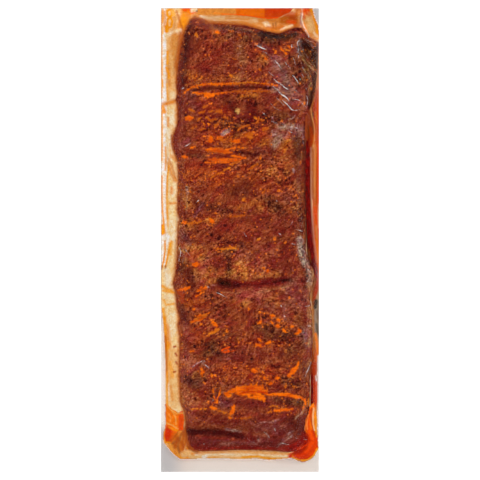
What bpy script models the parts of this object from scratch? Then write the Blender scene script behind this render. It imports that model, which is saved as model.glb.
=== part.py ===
"""A rack of smoked spareribs sealed in a clear vacuum bag, lying meat side up.

One closed solid has the outer form of the sealed bag: the rack with its ribs and the furrows
between them, the set fat pressed against the rack, the folds along the sides and the thin flat
seam that runs round to the cut edges. X runs along the bones, Y along the rack and Z up, from
the middle of the face that the bag rests on.
"""

import math

import bmesh
import bpy
from mathutils import Vector, noise

MM = 0.001

# Driving dimensions, in millimetres

BAG_WIDTH = 142.2
BAG_LENGTH = 417.6
CROWN_HEIGHT = 26.5
SHOULDER_HEIGHT = 14.5
SEAM_LIFT = 3.0
SEAM_THICKNESS = 0.9
SEAM_WAVE = 0.7
SEAM_WAVE_LENGTH = 74.0

# How the form rounds off, in millimetres

RACK_EDGE_RUN = 9.0
RACK_CORNER = 5.0
FILL_CORNER = 6.0
UNDER_ROUND = 13.0
FURROW_FADE = 7.0
FURROW_REST = 0.22

# Lumps of the meat under the film

LUMP_SIZE = 17.0
LUMP_HEIGHT = 1.1
SWELL_SIZE = 60.0
SWELL_HEIGHT = 1.3

# The last rib lies lower than the rest, and the two near corners hold soft pools of fat

LAST_RIB_Y = -168.0
LAST_RIB_RUN = 12.0
LAST_RIB_DROP = 4.5
POOL_DROP = 7.0
POOL_REACH = 20.0
POOLS = ((-60.0, -164.0), (66.0, -180.0))

# Outlines, each side a smooth curve: (along, across) in millimetres

RACK_LEFT = ((183, -51.5), (137, -57.5), (106, -56), (86, -61), (60, -55.5), (8, -56),
             (-38, -58.5), (-72, -54), (-146, -54), (-175, -48))
RACK_RIGHT = ((178, 69.5), (149, 68.5), (122, 64), (108, 58), (84, 57.6), (40, 58), (-14, 59),
              (-30, 66.5), (-50, 63), (-75, 65.5), (-120, 63), (-146, 62.5), (-162, 59), (-190, 57))
RACK_TOP = ((-52, 190), (-41, 199.5), (-27, 194.5), (5, 192.5), (24, 187), (36, 185.5),
            (50, 190.5), (60, 184), (71, 178))
RACK_BOTTOM = ((-50, -190), (-35, -191), (5, -188.5), (30, -190), (48, -193.5), (60, -188))
FILL_LEFT = ((205, -69), (100, -67.2), (0, -67.6), (-80, -68.2), (-150, -66.6), (-178, -69))
FILL_RIGHT = ((205, 67), (180, 70), (0, 70.4), (-150, 70.2), (-190, 70))
FILL_TOP = ((-68, 207), (-50, 206), (-36, 201.5), (20, 201), (40, 199), (55, 205), (66, 203))
FILL_BOTTOM = ((-70, -187), (-60, -193), (-52, -197), (-30, -194.5), (0, -196), (44, -197),
               (57, -199.5), (70, -194))

# Furrows between the ribs: middle, depth, half width, from X, to X, and how far the ends bow
# along the rack, all in millimetres

FURROWS = (
    (171, 1.1, 5.0, -50, 66, 0),
    (138, 5.0, 4.6, -50, 28, -5),
    (106, 1.3, 6.0, -52, 52, 0),
    (76, 3.4, 4.4, -54, 34, 1),
    (46, 1.2, 6.0, -50, 52, -2),
    (20, 2.2, 5.0, -50, 50, 2),
    (-6, 1.6, 4.0, -52, 54, -2),
    (-41, 6.2, 5.2, -26, 46, 3),
    (-69, 1.3, 5.0, -50, 58, 2),
    (-96, 2.4, 5.0, -50, 60, -1),
    (-139, 3.8, 5.6, -26, 58, 1),
    (-172, 4.6, 4.2, -49, 22, -1),
)

# Folds of the bag: rise, half width and the points of its crest, all in millimetres

FOLDS = (
    (3.4, 2.2, ((68, 146), (66.6, 130), (63.6, 116), (67, 94), (64.2, 72), (63, 36), (63.4, 8),
                (67.4, -18), (69, -40))),
    (2.6, 1.8, ((57, 208), (54.4, 200), (56.5, 190), (62, 180))),
    (1.8, 1.6, ((-48.6, 47), (-48.4, 22))),
    (2.4, 2.4, ((-66, -176), (-56, -184), (-50, -194))),
    (1.8, 1.8, ((-58, -172), (-46, -186))),
    (2.2, 2.0, ((60, 176), (66, 166), (70, 154))),
    (1.8, 1.8, ((68, -106), (67, -132), (69.4, -160))),
    (1.4, 1.8, ((31, 161), (38, 152))),
    (1.4, 1.8, ((29, 144), (44, 130))),
)

# Grid of the skin: cells across and along, and how much closer they lie near the edges

CELLS_ACROSS = 28
CELLS_ALONG = 106
CROWD_ACROSS = 0.34
CROWD_ALONG = 0.14
FLAT_ENOUGH = 0.001

MEAT_COLOUR = (0.22, 0.045, 0.02, 1.0)
MEAT_ROUGHNESS = 0.3


def ease(low, high, value):
    """Rises smoothly from 0 at low to 1 at high."""
    share = min(max((value - low) / (high - low), 0.0), 1.0)
    return share * share * (3.0 - 2.0 * share)


def along_curve(points, at):
    """Height of the smooth curve through the points, level past both of its ends."""
    ordered = sorted(points)
    if at <= ordered[0][0]:
        return ordered[0][1]
    if at >= ordered[-1][0]:
        return ordered[-1][1]
    last = len(ordered) - 1
    i = max(k for k in range(last) if ordered[k][0] <= at)

    def slope(k):
        before, after = ordered[max(k - 1, 0)], ordered[min(k + 1, last)]
        return (after[1] - before[1]) / (after[0] - before[0])

    run = ordered[i + 1][0] - ordered[i][0]
    t = (at - ordered[i][0]) / run
    start = (2 * t**3 - 3 * t**2 + 1) * ordered[i][1] + (t**3 - 2 * t**2 + t) * run * slope(i)
    end = (3 * t**2 - 2 * t**3) * ordered[i + 1][1] + (t**3 - t**2) * run * slope(i + 1)
    return start + end


def soft_least(values, blend):
    """The least of the values, with its corners rounded by blend."""
    least = min(values)
    return least - blend * math.log(sum(math.exp((least - v) / blend) for v in values))


def depth_inside(x, y, sides, corner):
    """Distance from the outline, more than 0 inside it. The sides are left, right, top, bottom."""
    left, right, top, bottom = sides
    gaps = (
        x - along_curve(left, y),
        along_curve(right, y) - x,
        along_curve(top, x) - y,
        y - along_curve(bottom, x),
    )
    return soft_least(gaps, corner / 4.0)


def distance_to_line(x, y, points):
    """Distance from a place to the line that joins the points."""
    place = Vector((x, y))
    nearest = math.inf
    for start, end in zip(points, points[1:]):
        foot = Vector(start)
        run = Vector(end) - foot
        share = min(max((place - foot).dot(run) / run.length_squared, 0.0), 1.0)
        nearest = min(nearest, (place - foot - run * share).length)
    return nearest


def seam_height(x, y):
    """Top of the seam where the two films lie together, in slow waves."""
    wave = math.sin(math.tau * y / SEAM_WAVE_LENGTH) * math.cos(math.pi * x / BAG_WIDTH)
    return SEAM_LIFT + SEAM_WAVE * wave


def shoulder_height(x, y):
    """Height of the film at the foot of the rack, lower over the pools of fat."""
    height = SHOULDER_HEIGHT
    for middle_x, middle_y in POOLS:
        away = math.hypot(x - middle_x, y - middle_y)
        height -= POOL_DROP * math.exp(-((away / POOL_REACH) ** 2))
    return height


def furrow_depth(x, y):
    """How far the furrows between the ribs sink here."""
    depth = 0.0
    for middle, deepest, half_width, start, end, bow in FURROWS:
        across = (2 * x - start - end) / (end - start)
        line = middle + bow * min(across * across, 1.5)
        reach = ease(start - FURROW_FADE, start + FURROW_FADE, x)
        reach *= 1.0 - ease(end - FURROW_FADE, end + FURROW_FADE, x)
        reach = FURROW_REST + (1.0 - FURROW_REST) * reach
        depth += deepest * reach * math.exp(-(((y - line) / half_width) ** 2))
    return depth


def crown_height(x, y):
    """Top of the rack away from its edges."""
    height = CROWN_HEIGHT + SWELL_HEIGHT * noise.noise(Vector((x, y, 0.0)) / SWELL_SIZE)
    height += LUMP_HEIGHT * noise.noise(Vector((x * 0.7, y, 4.0)) / LUMP_SIZE)
    height -= LAST_RIB_DROP * ease(LAST_RIB_Y + LAST_RIB_RUN, LAST_RIB_Y - LAST_RIB_RUN, y)
    return height - furrow_depth(x, y)


def fold_rise(x, y):
    """How far a fold of the bag lifts the film here."""
    rises = (
        rise * math.exp(-((distance_to_line(x, y, crest) / half_width) ** 2))
        for rise, half_width, crest in FOLDS
    )
    return max(rises)


def skin_height(x, y):
    """Top of the bag: seam, set fat sloping up to the rack's foot, and the rack."""
    seam = seam_height(x, y)
    filled = depth_inside(x, y, (FILL_LEFT, FILL_RIGHT, FILL_TOP, FILL_BOTTOM), FILL_CORNER)
    if filled <= 0.0:
        return seam
    foot = max(shoulder_height(x, y), seam)
    meat = depth_inside(x, y, (RACK_LEFT, RACK_RIGHT, RACK_TOP, RACK_BOTTOM), RACK_CORNER)
    if meat <= 0.0:
        share = filled / (filled - meat)
        height = seam + (foot - seam) * math.sin(0.5 * math.pi * share)
    else:
        height = foot + (crown_height(x, y) - foot) * ease(0.0, RACK_EDGE_RUN, meat)
    return height + fold_rise(x, y) * ease(0.0, 2.0, filled)


def under_height(x, y):
    """Underside of the bag: flat where it rests, curling up to the seam at the sides."""
    filled = depth_inside(x, y, (FILL_LEFT, FILL_RIGHT, FILL_TOP, FILL_BOTTOM), FILL_CORNER)
    curl = 1.0 - min(max(filled / UNDER_ROUND, 0.0), 1.0)
    return (seam_height(x, y) - SEAM_THICKNESS) * curl * curl


def crowded(share, crowd):
    """Moves a place between -1 and 1 outwards, so that places crowd at both ends."""
    return share * (1.0 + crowd) - crowd * share**3


def bag_skin():
    """The top of the bag as a grid, laid over the rack, with the underside drawn down from it."""
    shape = bmesh.new()
    bmesh.ops.create_grid(shape, x_segments=CELLS_ACROSS, y_segments=CELLS_ALONG, size=1.0)
    for vertex in shape.verts:
        vertex.co.x = BAG_WIDTH / 2 * crowded(vertex.co.x, CROWD_ACROSS)
        vertex.co.y = BAG_LENGTH / 2 * crowded(vertex.co.y, CROWD_ALONG)
    for vertex in shape.verts:
        vertex.co.z = skin_height(vertex.co.x, vertex.co.y)
    drawn = bmesh.ops.extrude_face_region(shape, geom=shape.faces[:])["geom"]
    under = [item for item in drawn if isinstance(item, bmesh.types.BMVert)]
    for vertex in under:
        vertex.co.z = under_height(vertex.co.x, vertex.co.y)
    flat = [
        face for face in shape.faces
        if all(vertex.co.z < FLAT_ENOUGH for vertex in face.verts)
    ]
    for vertex in {vertex for face in flat for vertex in face.verts}:
        vertex.co.z = 0.0
    bmesh.ops.dissolve_faces(shape, faces=flat, use_verts=True)
    bmesh.ops.recalc_face_normals(shape, faces=shape.faces[:])
    bmesh.ops.scale(shape, vec=Vector((MM, MM, MM)), verts=shape.verts[:])
    mesh = bpy.data.meshes.new("sealed_pack")
    shape.to_mesh(mesh)
    shape.free()
    mesh.shade_smooth()
    mesh.set_sharp_from_angle(angle=math.radians(50.0))
    return mesh


def meat_under_film():
    """Dark reddish brown smoked meat under glossy film."""
    material = bpy.data.materials.new("meat_under_film")
    material.use_nodes = True
    shader = material.node_tree.nodes["Principled BSDF"]
    shader.inputs["Base Color"].default_value = MEAT_COLOUR
    shader.inputs["Roughness"].default_value = MEAT_ROUGHNESS
    shader.inputs["Metallic"].default_value = 0.0
    return material


def main():
    for item in list(bpy.data.objects):
        bpy.data.objects.remove(item, do_unlink=True)
    collection = bpy.data.collections.new("sealed_sparerib_rack")
    bpy.context.scene.collection.children.link(collection)
    pack = bpy.data.objects.new("sealed_pack", bag_skin())
    pack.data.materials.append(meat_under_film())
    collection.objects.link(pack)


main()
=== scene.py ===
"""A rack of smoked spareribs in its clear vacuum bag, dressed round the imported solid.

The bag's solid gives the form. A smoothed copy of its skin is the guide that the film, the rack,
the set fat and the thin layers of rendered fat and juice are all laid on. Where a stain, furrow
or fold lies is written in pixels of the photograph and turned into metres by PIXEL.
"""

import math
import random

import bmesh
import bpy
import numpy as np
from bpy.props import FloatProperty, FloatVectorProperty, IntProperty, PointerProperty
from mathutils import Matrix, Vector, noise
from mathutils.bvhtree import BVHTree


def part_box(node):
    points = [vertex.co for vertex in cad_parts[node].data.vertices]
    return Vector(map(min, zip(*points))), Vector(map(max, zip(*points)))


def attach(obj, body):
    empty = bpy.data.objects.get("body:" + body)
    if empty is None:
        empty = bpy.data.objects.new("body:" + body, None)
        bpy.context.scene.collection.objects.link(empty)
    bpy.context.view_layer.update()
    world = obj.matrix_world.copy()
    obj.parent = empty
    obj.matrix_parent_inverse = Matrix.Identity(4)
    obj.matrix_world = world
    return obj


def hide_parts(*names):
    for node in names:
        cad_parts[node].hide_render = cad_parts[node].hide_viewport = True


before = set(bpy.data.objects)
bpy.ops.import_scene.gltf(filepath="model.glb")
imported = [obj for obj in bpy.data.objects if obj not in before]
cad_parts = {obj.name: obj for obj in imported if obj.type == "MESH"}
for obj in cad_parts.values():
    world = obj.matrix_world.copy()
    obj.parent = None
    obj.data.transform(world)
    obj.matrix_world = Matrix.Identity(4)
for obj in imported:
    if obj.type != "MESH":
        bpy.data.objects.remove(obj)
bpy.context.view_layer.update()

bl_info = {
    "name": "Sealed sparerib rack",
    "version": (1, 0, 0),
    "blender": (4, 5, 0),
    "location": "3D View > Sidebar > Spareribs",
    "description": "Builds the film, meat, fat and juice of a vacuum-sealed rack of smoked ribs",
    "category": "Object",
}

MM = 0.001
PIXEL = 0.9 * MM
PHOTO_MIDDLE = 240.0
BODY = "root"
PACK_NODE = "sealed_pack"
FILM_LOSS = 1.12    # makes up for the light that the film takes
FILM_SHEEN = 0.0028    # makes up for the pale sheen that the film adds
MEAT_BALANCE = (0.86, 0.76, 0.74)    # brings the grained meat back to its painted tone
LOW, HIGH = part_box(PACK_NODE)

# Outlines, clockwise from the top left, in photo pixels

RACK_OUTLINE = (
    (188, 25), (191, 20), (195, 17.5), (203, 20), (210, 24), (228, 25), (245, 26), (263, 31),
    (272, 33), (279, 34), (287, 31), (295, 28), (301, 28.5), (307, 36), (311, 39), (318.6, 43),
    (318.6, 58), (318, 74), (315, 92), (311, 107), (305.6, 117), (305, 126), (305, 147),
    (306, 159), (305, 170), (305, 199), (306, 232), (306, 250), (309, 262), (314, 270),
    (315, 279), (312, 287), (310, 295), (311, 307), (312.6, 322), (312.6, 342), (312, 355),
    (310, 373), (310, 402), (309, 412), (305.6, 419), (304.5, 429), (308, 437), (308, 442),
    (305, 445), (298, 450.4), (288, 452), (272, 450.4), (245, 449.4), (218, 450.4),
    (203, 451), (195, 449.6), (190, 445), (187, 437),
    (185.6, 429), (186, 419), (184.6, 410), (181, 402), (179.6, 376), (180, 336),
    (178, 324), (180, 319), (177, 307), (176, 293), (173, 284), (175, 276), (177, 262),
    (178, 247), (178, 230), (180, 220), (177.6, 210), (178, 196), (178.6, 190), (178.4, 170),
    (177.8, 163), (176.4, 156), (174, 150), (172.8, 143), (173.2, 137), (177.6, 124), (178, 107), (176, 101),
    (177.6, 93), (176.4, 87), (177.6, 70), (179.6, 55), (182, 42), (184.5, 33),
)
FAT_OUTLINE = (
    (161.2, 8.2), (236, 8.2), (312.6, 8.2), (315, 18), (318.6, 26), (318.9, 42), (318.9, 200),
    (318.9, 300), (318.9, 352), (317.4, 372), (317.6, 405), (316.8, 432), (318, 439),
    (318.3, 450), (314, 456), (308.5, 460.5), (303, 461.5), (297, 460), (292, 457.6),
    (269, 460), (256, 458.4), (241, 459.2), (222, 458.2), (204, 458.4), (191, 458.8),
    (180, 459), (174.5, 455), (169, 449), (163.3, 442), (163.6, 434), (166, 423), (165.4, 400),
    (165, 352), (163.4, 326), (161.2, 306), (161.2, 100),
)

# Colours as they show on a screen, from 0 to 255

PALETTE = {
    "meat": (138, 55, 30), "russet": (152, 62, 32), "red_brown": (142, 46, 26),
    "maroon": (112, 32, 24), "dark_maroon": (72, 14, 12), "wine": (122, 22, 20),
    "plum": (112, 50, 46), "umber": (92, 48, 26), "char": (30, 11, 4),
    "amber": (180, 88, 30), "tan_brown": (164, 98, 60), "mauve": (152, 86, 76),
    # haze, mauve and ash are the colours of the film's painted sheen on the meat
    "sheen_haze": (170, 126, 114), "rose": (166, 76, 54), "rib": (112, 36, 28),
    "smear": (236, 106, 12), "smear_pale": (220, 120, 28), "smear_deep": (206, 62, 6),
    "rust": (166, 58, 18), "cinnamon": (190, 92, 22), "wheat": (206, 156, 90), "garnet": (92, 16, 14),
    "grey_sheen": (158, 122, 104), "honey": (208, 134, 58),
    "white": (238, 232, 234), "lilac": (226, 214, 210), "cream": (242, 206, 156),
    "ivory": (246, 232, 210), "butter": (232, 184, 124), "tan": (222, 150, 84),
    "orange_tan": (226, 142, 56), "orange": (240, 128, 20), "light_orange": (246, 176, 84),
    "bright": (250, 116, 6), "flame": (234, 76, 4), "ember": (206, 50, 4), "blood": (134, 18, 8),
    "dark_red": (80, 12, 5), "brown": (150, 82, 40), "dark_brown": (84, 40, 20),
    "bark": (126, 56, 26), "peach": (236, 192, 142), "gold": (244, 158, 40),
    "apricot": (228, 138, 46), "bronze": (194, 96, 20), "copper": (170, 76, 26),
    "pale": (240, 216, 186), "toast": (192, 104, 44), "crust": (142, 60, 24),
    "marigold": (244, 150, 22), "paprika": (180, 56, 6), "sable": (68, 26, 8), "orange_rust": (212, 90, 18), "film_tan": (188, 148, 118),
    "pink": (188, 122, 106), "film_grey": (154, 130, 112), "soot": (64, 48, 38),
    "slab_tan": (216, 138, 56), "slab_orange": (218, 100, 6), "slab_red": (192, 62, 2),
}

# Broad tones of the meat: colour, strength, half width, softness and the line that it follows

# Haze, mauve and ash strokes are painted sheen of the film; dark bands in the furrows are painted shade, partly
# char
MEAT_TONES = (
    ("dark_maroon", 0.35, 6, 5, ((192, 32), (194, 46))), ("tan_brown", 0.25, 4, 5, ((229, 37), (231, 45))),
    ("maroon", 0.95, 7, 5, ((206, 115), (209, 142))), ("maroon", 0.95, 6, 4, ((225, 114), (236, 117))),
    ("garnet", 0.7, 5, 4, ((254, 117), (261, 123))), ("amber", 0.65, 6, 5, ((228, 140), (262, 144))),
    ("grey_sheen", 0.4, 4, 4, ((284, 137), (295, 135))), ("toast", 0.45, 6, 5, ((287, 142), (282, 178))),
    ("toast", 0.5, 6, 5, ((266, 173), (280, 172))), ("toast", 0.5, 4, 4, ((246, 301), (276, 302))),
    ("umber", 0.4, 5, 4, ((300, 362), (306, 372))), ("umber", 0.4, 4, 4, ((298, 318), (302, 326))),
    ("maroon", 0.8, 5, 4, ((218, 180), (220, 187))), ("maroon", 0.5, 5, 5, ((202, 213), (208, 218))),
    ("toast", 0.4, 5, 5, ((186, 192), (188, 206))), ("toast", 0.4, 4, 4, ((285, 208), (297, 206))),
    ("plum", 0.5, 6, 5, ((278, 190), (289, 198))), ("mauve", 0.35, 9, 7, ((288, 280), (298, 300))),
    ("plum", 0.4, 6, 5, ((225, 358), (238, 366))), ("maroon", 0.6, 5, 5, ((228, 50), (250, 58), (264, 54))),
    ("tan_brown", 0.95, 4, 4, ((181, 226), (183, 238))), ("toast", 0.8, 6, 5, ((186, 248), (200, 254))),
    ("amber", 0.4, 8, 6, ((190, 262), (203, 269))), ("rose", 0.4, 6, 6, ((190, 262), (203, 272))), ("toast", 0.7, 5, 5, ((200, 276), (232, 276))),
    ("toast", 0.95, 7, 5, ((242, 268), (248, 278))), ("toast", 0.55, 4, 4, ((262, 275), (288, 274))),
    ("rose", 0.7, 7, 5, ((244, 293), (260, 291))), ("rust", 0.5, 4, 4, ((182, 302), (204, 302))),
    ("grey_sheen", 0.4, 5, 4, ((304, 332), (308, 342))), ("maroon", 0.5, 4, 4, ((242, 342), (264, 342))),
    ("toast", 0.6, 4, 3, ((254, 357), (256, 360))), ("maroon", 0.8, 4, 3, ((250, 378), (258, 379))),
    ("umber", 0.45, 5, 4, ((218, 390), (220, 397))), ("maroon", 0.5, 7, 5, ((266, 416), (290, 419))),
    ("dark_maroon", 0.4, 8, 5, ((294, 420), (304, 426))), ("rose", 0.4, 5, 4, ((240, 440), (248, 438))),
    ("maroon", 0.6, 7, 5, ((290, 434), (300, 436))), ("sheen_haze", 0.3, 4, 3, ((270, 88), (279, 91))),
    ("cinnamon", 0.5, 3, 2.4, ((239, 96.6), (256, 97))), ("rust", 0.5, 7, 5, ((193, 334), (202, 342))),
    ("toast", 0.5, 6, 5, ((183, 366), (190, 370))), ("umber", 0.5, 6, 4, ((193, 376), (199, 381))),
    ("toast", 0.4, 7, 5, ((190, 394), (196, 405))), ("umber", 0.8, 4, 4, ((283, 69), (287, 92))),
    ("dark_maroon", 0.85, 3.4, 4, ((189, 26), (187, 36), (186, 50), (184, 66), (183, 86))),
    ("char", 0.5, 1.5, 3, ((187, 40), (186, 48))),
    ("maroon", 0.7, 3, 3, ((193, 22), (206, 27))),
    ("umber", 0.7, 2, 2.4, ((212, 26.6), (232, 28.4), (246, 30))),
    ("umber", 0.25, 5, 5, ((234, 34), (241, 42))),
    ("tan_brown", 0.4, 4, 6, ((240, 50), (243, 64), (240, 78))),
    ("red_brown", 0.6, 8, 6, ((206, 42), (212, 56), (204, 66))),
    ("red_brown", 0.4, 4, 5, ((250, 66), (254, 80))),
    ("amber", 0.3, 3, 4, ((215, 34), (222, 38))),
    ("amber", 0.5, 4, 4, ((256, 52), (262, 58), (268, 64))),
    ("amber", 0.3, 3, 4, ((192, 78), (212, 79), (236, 79.6))),
    ("maroon", 0.6, 3, 4, ((200, 68), (210, 74), (232, 74), (244, 70))),
    ("amber", 0.15, 6, 6, ((186, 76), (196, 82))),
    ("mauve", 0.4, 8, 7, ((276, 66), (286, 84), (296, 100))),
    ("maroon", 0.9, 5, 5, ((264, 44), (269, 51))),
    ("umber", 0.5, 6, 5, ((294, 62), (301, 84))),
    ("sable", 0.6, 1.4, 2, ((240, 31), (250, 33), (260, 35))),
    ("sable", 1.0, 4.0, 3, ((262, 35.4), (272, 38.4), (284, 38.4),
                               (294, 35))),
    ("char", 0.6, 2.6, 2, ((262, 33), (268, 35.6), (275, 37.6))),
    ("char", 0.5, 1.8, 2, ((278, 37.6), (286, 37))),
    ("umber", 0.6, 3, 3, ((246, 38), (262, 41), (276, 44))),
    # A thin painted highlight along the meat's top edge
    ("tan_brown", 0.6, 0.6, 0.8, ((236, 29), (246, 30), (252, 32.6))),
    ("red_brown", 0.7, 1.4, 1.6, ((286, 34), (294, 31.4), (300, 32))),
    ("sable", 0.95, 6, 3, ((304, 44), (311, 52), (317, 62))),
    ("char", 0.8, 2.4, 2.4, ((306, 46), (312, 55), (318, 63))),
    ("sable", 0.9, 3, 2, ((300, 50), (304, 62), (309, 74), (311, 88))),
    ("char", 0.9, 1.6, 1.4, ((316, 68), (314, 84), (310.6, 98), (308, 108))),
    ("umber", 0.9, 4, 4, ((306, 68), (312, 82), (309, 100))),
    ("char", 0.6, 1.2, 1.6, ((302, 46), (306, 56), (313, 66))),
    ("char", 0.6, 1.4, 1.6, ((313, 78), (312, 92), (309.6, 106))),
    # In the next nine lines, the thin tan_brown, toast and butter lines are painted highlights on the fold's
    # creases
    ("tan_brown", 0.8, 0.3, 0.7, ((298.6, 43), (300.6, 52), (305, 60), (311, 66), (317.6, 74))),
    ("toast", 0.8, 0.2, 0.6, ((301, 57), (305, 66), (310, 76), (312, 88))),
    ("toast", 0.6, 0.1, 0.6, ((307, 50), (312, 58), (318, 66))),
    ("tan_brown", 0.7, 0.2, 0.6, ((304, 71), (308, 80), (310, 92))),
    ("butter", 0.6, 0.1, 0.6, ((311, 61), (315, 68), (318, 72))),
    ("sable", 0.9, 1.6, 1.6, ((315.6, 46), (317, 58), (317.6, 68))),
    ("toast", 0.5, 0.1, 0.6, ((303, 40), (308, 44), (314, 50), (318, 54))),
    ("maroon", 0.8, 1.2, 1.4, ((306, 86), (307, 98), (306, 110))),
    ("butter", 0.8, 0.1, 0.5, ((302.4, 60), (307, 65.6), (312, 69.6), (318, 75))),
    ("maroon", 0.5, 5, 5, ((207, 119), (225, 121))),
    ("plum", 0.45, 5, 5, ((186, 379), (198, 384))),
    # Wine red in the furrow near y 431, under its painted shade further down
    ("wine", 0.35, 2.4, 2.4, ((190, 431), (214, 430.6), (238, 435))),
    # Pale mauve streaks at the bottom are painted sheen of the film
    ("mauve", 0.6, 1.0, 1.2, ((257.4, 436), (260.6, 440))),
    ("mauve", 0.5, 0.4, 1.0, ((273.6, 424.6), (275, 429))),
    ("mauve", 0.4, 0.6, 1.4, ((278, 445), (283, 438), (290, 432))),
    ("maroon", 0.5, 1.6, 2, ((181, 88), (180.6, 98), (180.4, 108), (180.6, 118))),
    ("tan_brown", 0.6, 1.4, 1.8, ((177.4, 240), (178, 248), (177.4, 256))),
    ("rose", 0.6, 2.4, 2, ((177.4, 299), (178.6, 308))),
    ("amber", 0.5, 1.2, 1.6, ((178.6, 190), (178.8, 205))),
    ("toast", 0.35, 2, 2, ((181, 330), (181.4, 350))),
    ("rose", 0.4, 3, 3, ((182.6, 360), (183.4, 378))),
    ("toast", 0.5, 1.6, 1.8, ((181, 384), (183.4, 400))),
    ("sable", 0.3, 5, 4, ((306, 52), (308, 64))),
    ("dark_maroon", 0.6, 0.8, 1.2, ((304, 126), (304, 176))),
    ("rose", 0.4, 1.2, 2, ((306.6, 108), (305, 120))),
    ("toast", 0.45, 0.8, 1.2, ((302.2, 184), (302.4, 214))),
    ("brown", 0.5, 1.0, 1.6, ((304.4, 220), (304.6, 244))),
    ("grey_sheen", 0.4, 1.4, 1.4, ((303, 250), (303.6, 266))),
    ("umber", 0.5, 2, 1.6, ((308.4, 268), (309, 284))),
    ("wheat", 0.5, 0.4, 0.8, ((312.2, 268), (313.2, 276), (312.4, 283))),
    ("maroon", 0.35, 3, 2, ((305, 291), (304.4, 310), (304, 330))),
    ("butter", 0.35, 0.8, 1.2, ((311, 311), (312, 320), (312, 330))),
    ("meat", 0.3, 5, 4, ((278, 127), (288, 131))),
    ("maroon", 0.35, 6, 5, ((246, 352), (262, 356))),
    ("mauve", 0.4, 0.6, 1.4, ((229, 357), (231, 362))),
    ("maroon", 0.5, 4, 4, ((209, 162), (220, 165), (236, 155))),
    ("maroon", 0.4, 4, 4, ((202, 217), (209, 219))),
    ("maroon", 0.4, 5, 5, ((228, 360), (242, 363))),
    ("maroon", 0.4, 4, 4, ((303, 418), (304, 430))),
    ("dark_maroon", 0.3, 5, 5, ((282, 436), (291, 441))),
    ("cinnamon", 0.5, 4, 4, ((179, 302), (190, 303))),
    ("toast", 0.3, 5, 4, ((183, 267), (195, 269))),
    # The next five lines are thin painted highlights on more creases of the dark fold
    ("butter", 0.7, 0.1, 0.5, ((303, 70), (308, 76.6), (311.6, 86))),
    ("sheen_haze", 0.8, 0.1, 0.5, ((301, 47), (304, 54), (308, 59.6))),
    ("sheen_haze", 0.8, 0.2, 0.5, ((309.6, 45), (312, 47), (315, 47.6))),
    ("sheen_haze", 0.7, 0.1, 0.5, ((306, 41), (309, 42.6), (312.6, 42))),
    ("toast", 0.8, 0.1, 0.5, ((305, 80), (308, 87), (309, 95))),
    # Painted shade in the furrow near y 89, partly char
    ("dark_maroon", 0.8, 1.5, 1.3, ((188, 90.6), (204, 89.8), (222, 88.6), (246, 88), (270, 88.8))),
    ("plum", 0.6, 6, 5, ((190, 96), (197, 106))),
    ("dark_maroon", 0.6, 4, 4, ((226, 99), (232, 108))),
    ("garnet", 0.9, 6, 4, ((250, 103), (252, 112), (249, 122))),
    ("dark_maroon", 0.3, 4, 4, ((263, 106), (267, 114))),
    ("rust", 0.5, 4, 5, ((200, 102), (212, 108), (228, 114))),
    ("rust", 0.6, 6, 5, ((206, 140), (222, 134), (246, 140), (262, 134))),
    ("umber", 0.5, 5, 5, ((226, 124), (242, 128), (236, 134))),
    ("umber", 0.5, 5, 4, ((276, 116), (290, 118))),
    # Painted grey sheen of the film at the top right, with thin painted highlights in the tan_brown lines
    ("grey_sheen", 0.6, 2.4, 3, ((280, 128), (294, 127), (301, 130))),
    ("grey_sheen", 0.5, 3.4, 3, ((274, 134), (278, 139), (274, 146))),
    ("sheen_haze", 0.7, 0.5, 0.8, ((272, 118), (273, 122), (277, 124.6))),
    ("sheen_haze", 0.7, 0.5, 0.8, ((288, 120), (292, 119.4), (295, 115.6))),
    ("sheen_haze", 0.6, 0.5, 0.8, ((302, 132), (303.4, 138), (303, 145))),
    ("tan_brown", 0.7, 0.6, 0.9, ((276, 128), (284, 124.6), (292, 126), (300, 131))),
    ("sheen_haze", 0.8, 0.7, 0.9, ((285, 128), (291, 127), (296, 128.4), (301, 130.6))),
    ("tan_brown", 0.6, 0.6, 0.9, ((276, 138), (280, 132), (287, 128))),
    ("sable", 0.65, 5, 4, ((296, 140), (298, 148), (298, 156))),
    ("sable", 0.5, 1.4, 1.6, ((272, 128), (276, 122), (284, 119))),
    ("sheen_haze", 0.85, 2.0, 1.4, ((222.6, 134.4), (228, 131.4))),
    ("cinnamon", 0.7, 1.8, 2, ((288.6, 138), (286.6, 145), (284, 152))),
    ("umber", 0.3, 3.4, 4, ((299, 132), (298, 170), (301, 200), (300, 236))),
    ("umber", 0.3, 4, 5, ((296, 213), (300, 218))),
    ("maroon", 0.7, 2, 3, ((181, 66), (180, 88), (181, 116))),
    ("wine", 0.55, 3, 3, ((179, 122), (176, 140), (178, 158))),
    ("mauve", 0.4, 3, 3, ((182, 146), (188, 142))),
    ("dark_maroon", 0.9, 1.8, 1.8, ((236, 152.4), (246, 153.6), (258, 155))),
    ("plum", 0.5, 3, 3, ((255, 148), (263, 152))),
    ("umber", 0.5, 2, 2, ((188, 155), (204, 157))),
    ("umber", 0.5, 2, 2, ((271, 150), (273, 155))),
    ("rust", 0.5, 8, 6, ((188, 172), (206, 170), (214, 176))),
    ("rust", 0.55, 3, 4, ((212, 188), (226, 180), (244, 168))),
    ("amber", 0.4, 2, 3, ((216, 196), (232, 190))),
    ("dark_maroon", 0.6, 5, 5, ((232, 192), (244, 192), (254, 179))),
    ("dark_maroon", 0.55, 4, 5, ((199, 204), (211, 208))),
    ("amber", 0.45, 4, 5, ((236, 207), (250, 202), (262, 206))),
    ("toast", 0.6, 2.6, 2.4, ((276.4, 169), (277.6, 175))),
    ("grey_sheen", 0.9, 1.0, 0.9, ((292.8, 170), (293.4, 172.4))),
    ("grey_sheen", 0.7, 0.7, 0.8, ((262.4, 178.6), (263.2, 179.4))),
    ("rust", 0.4, 7, 7, ((254, 176), (266, 186), (284, 190))),
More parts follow.
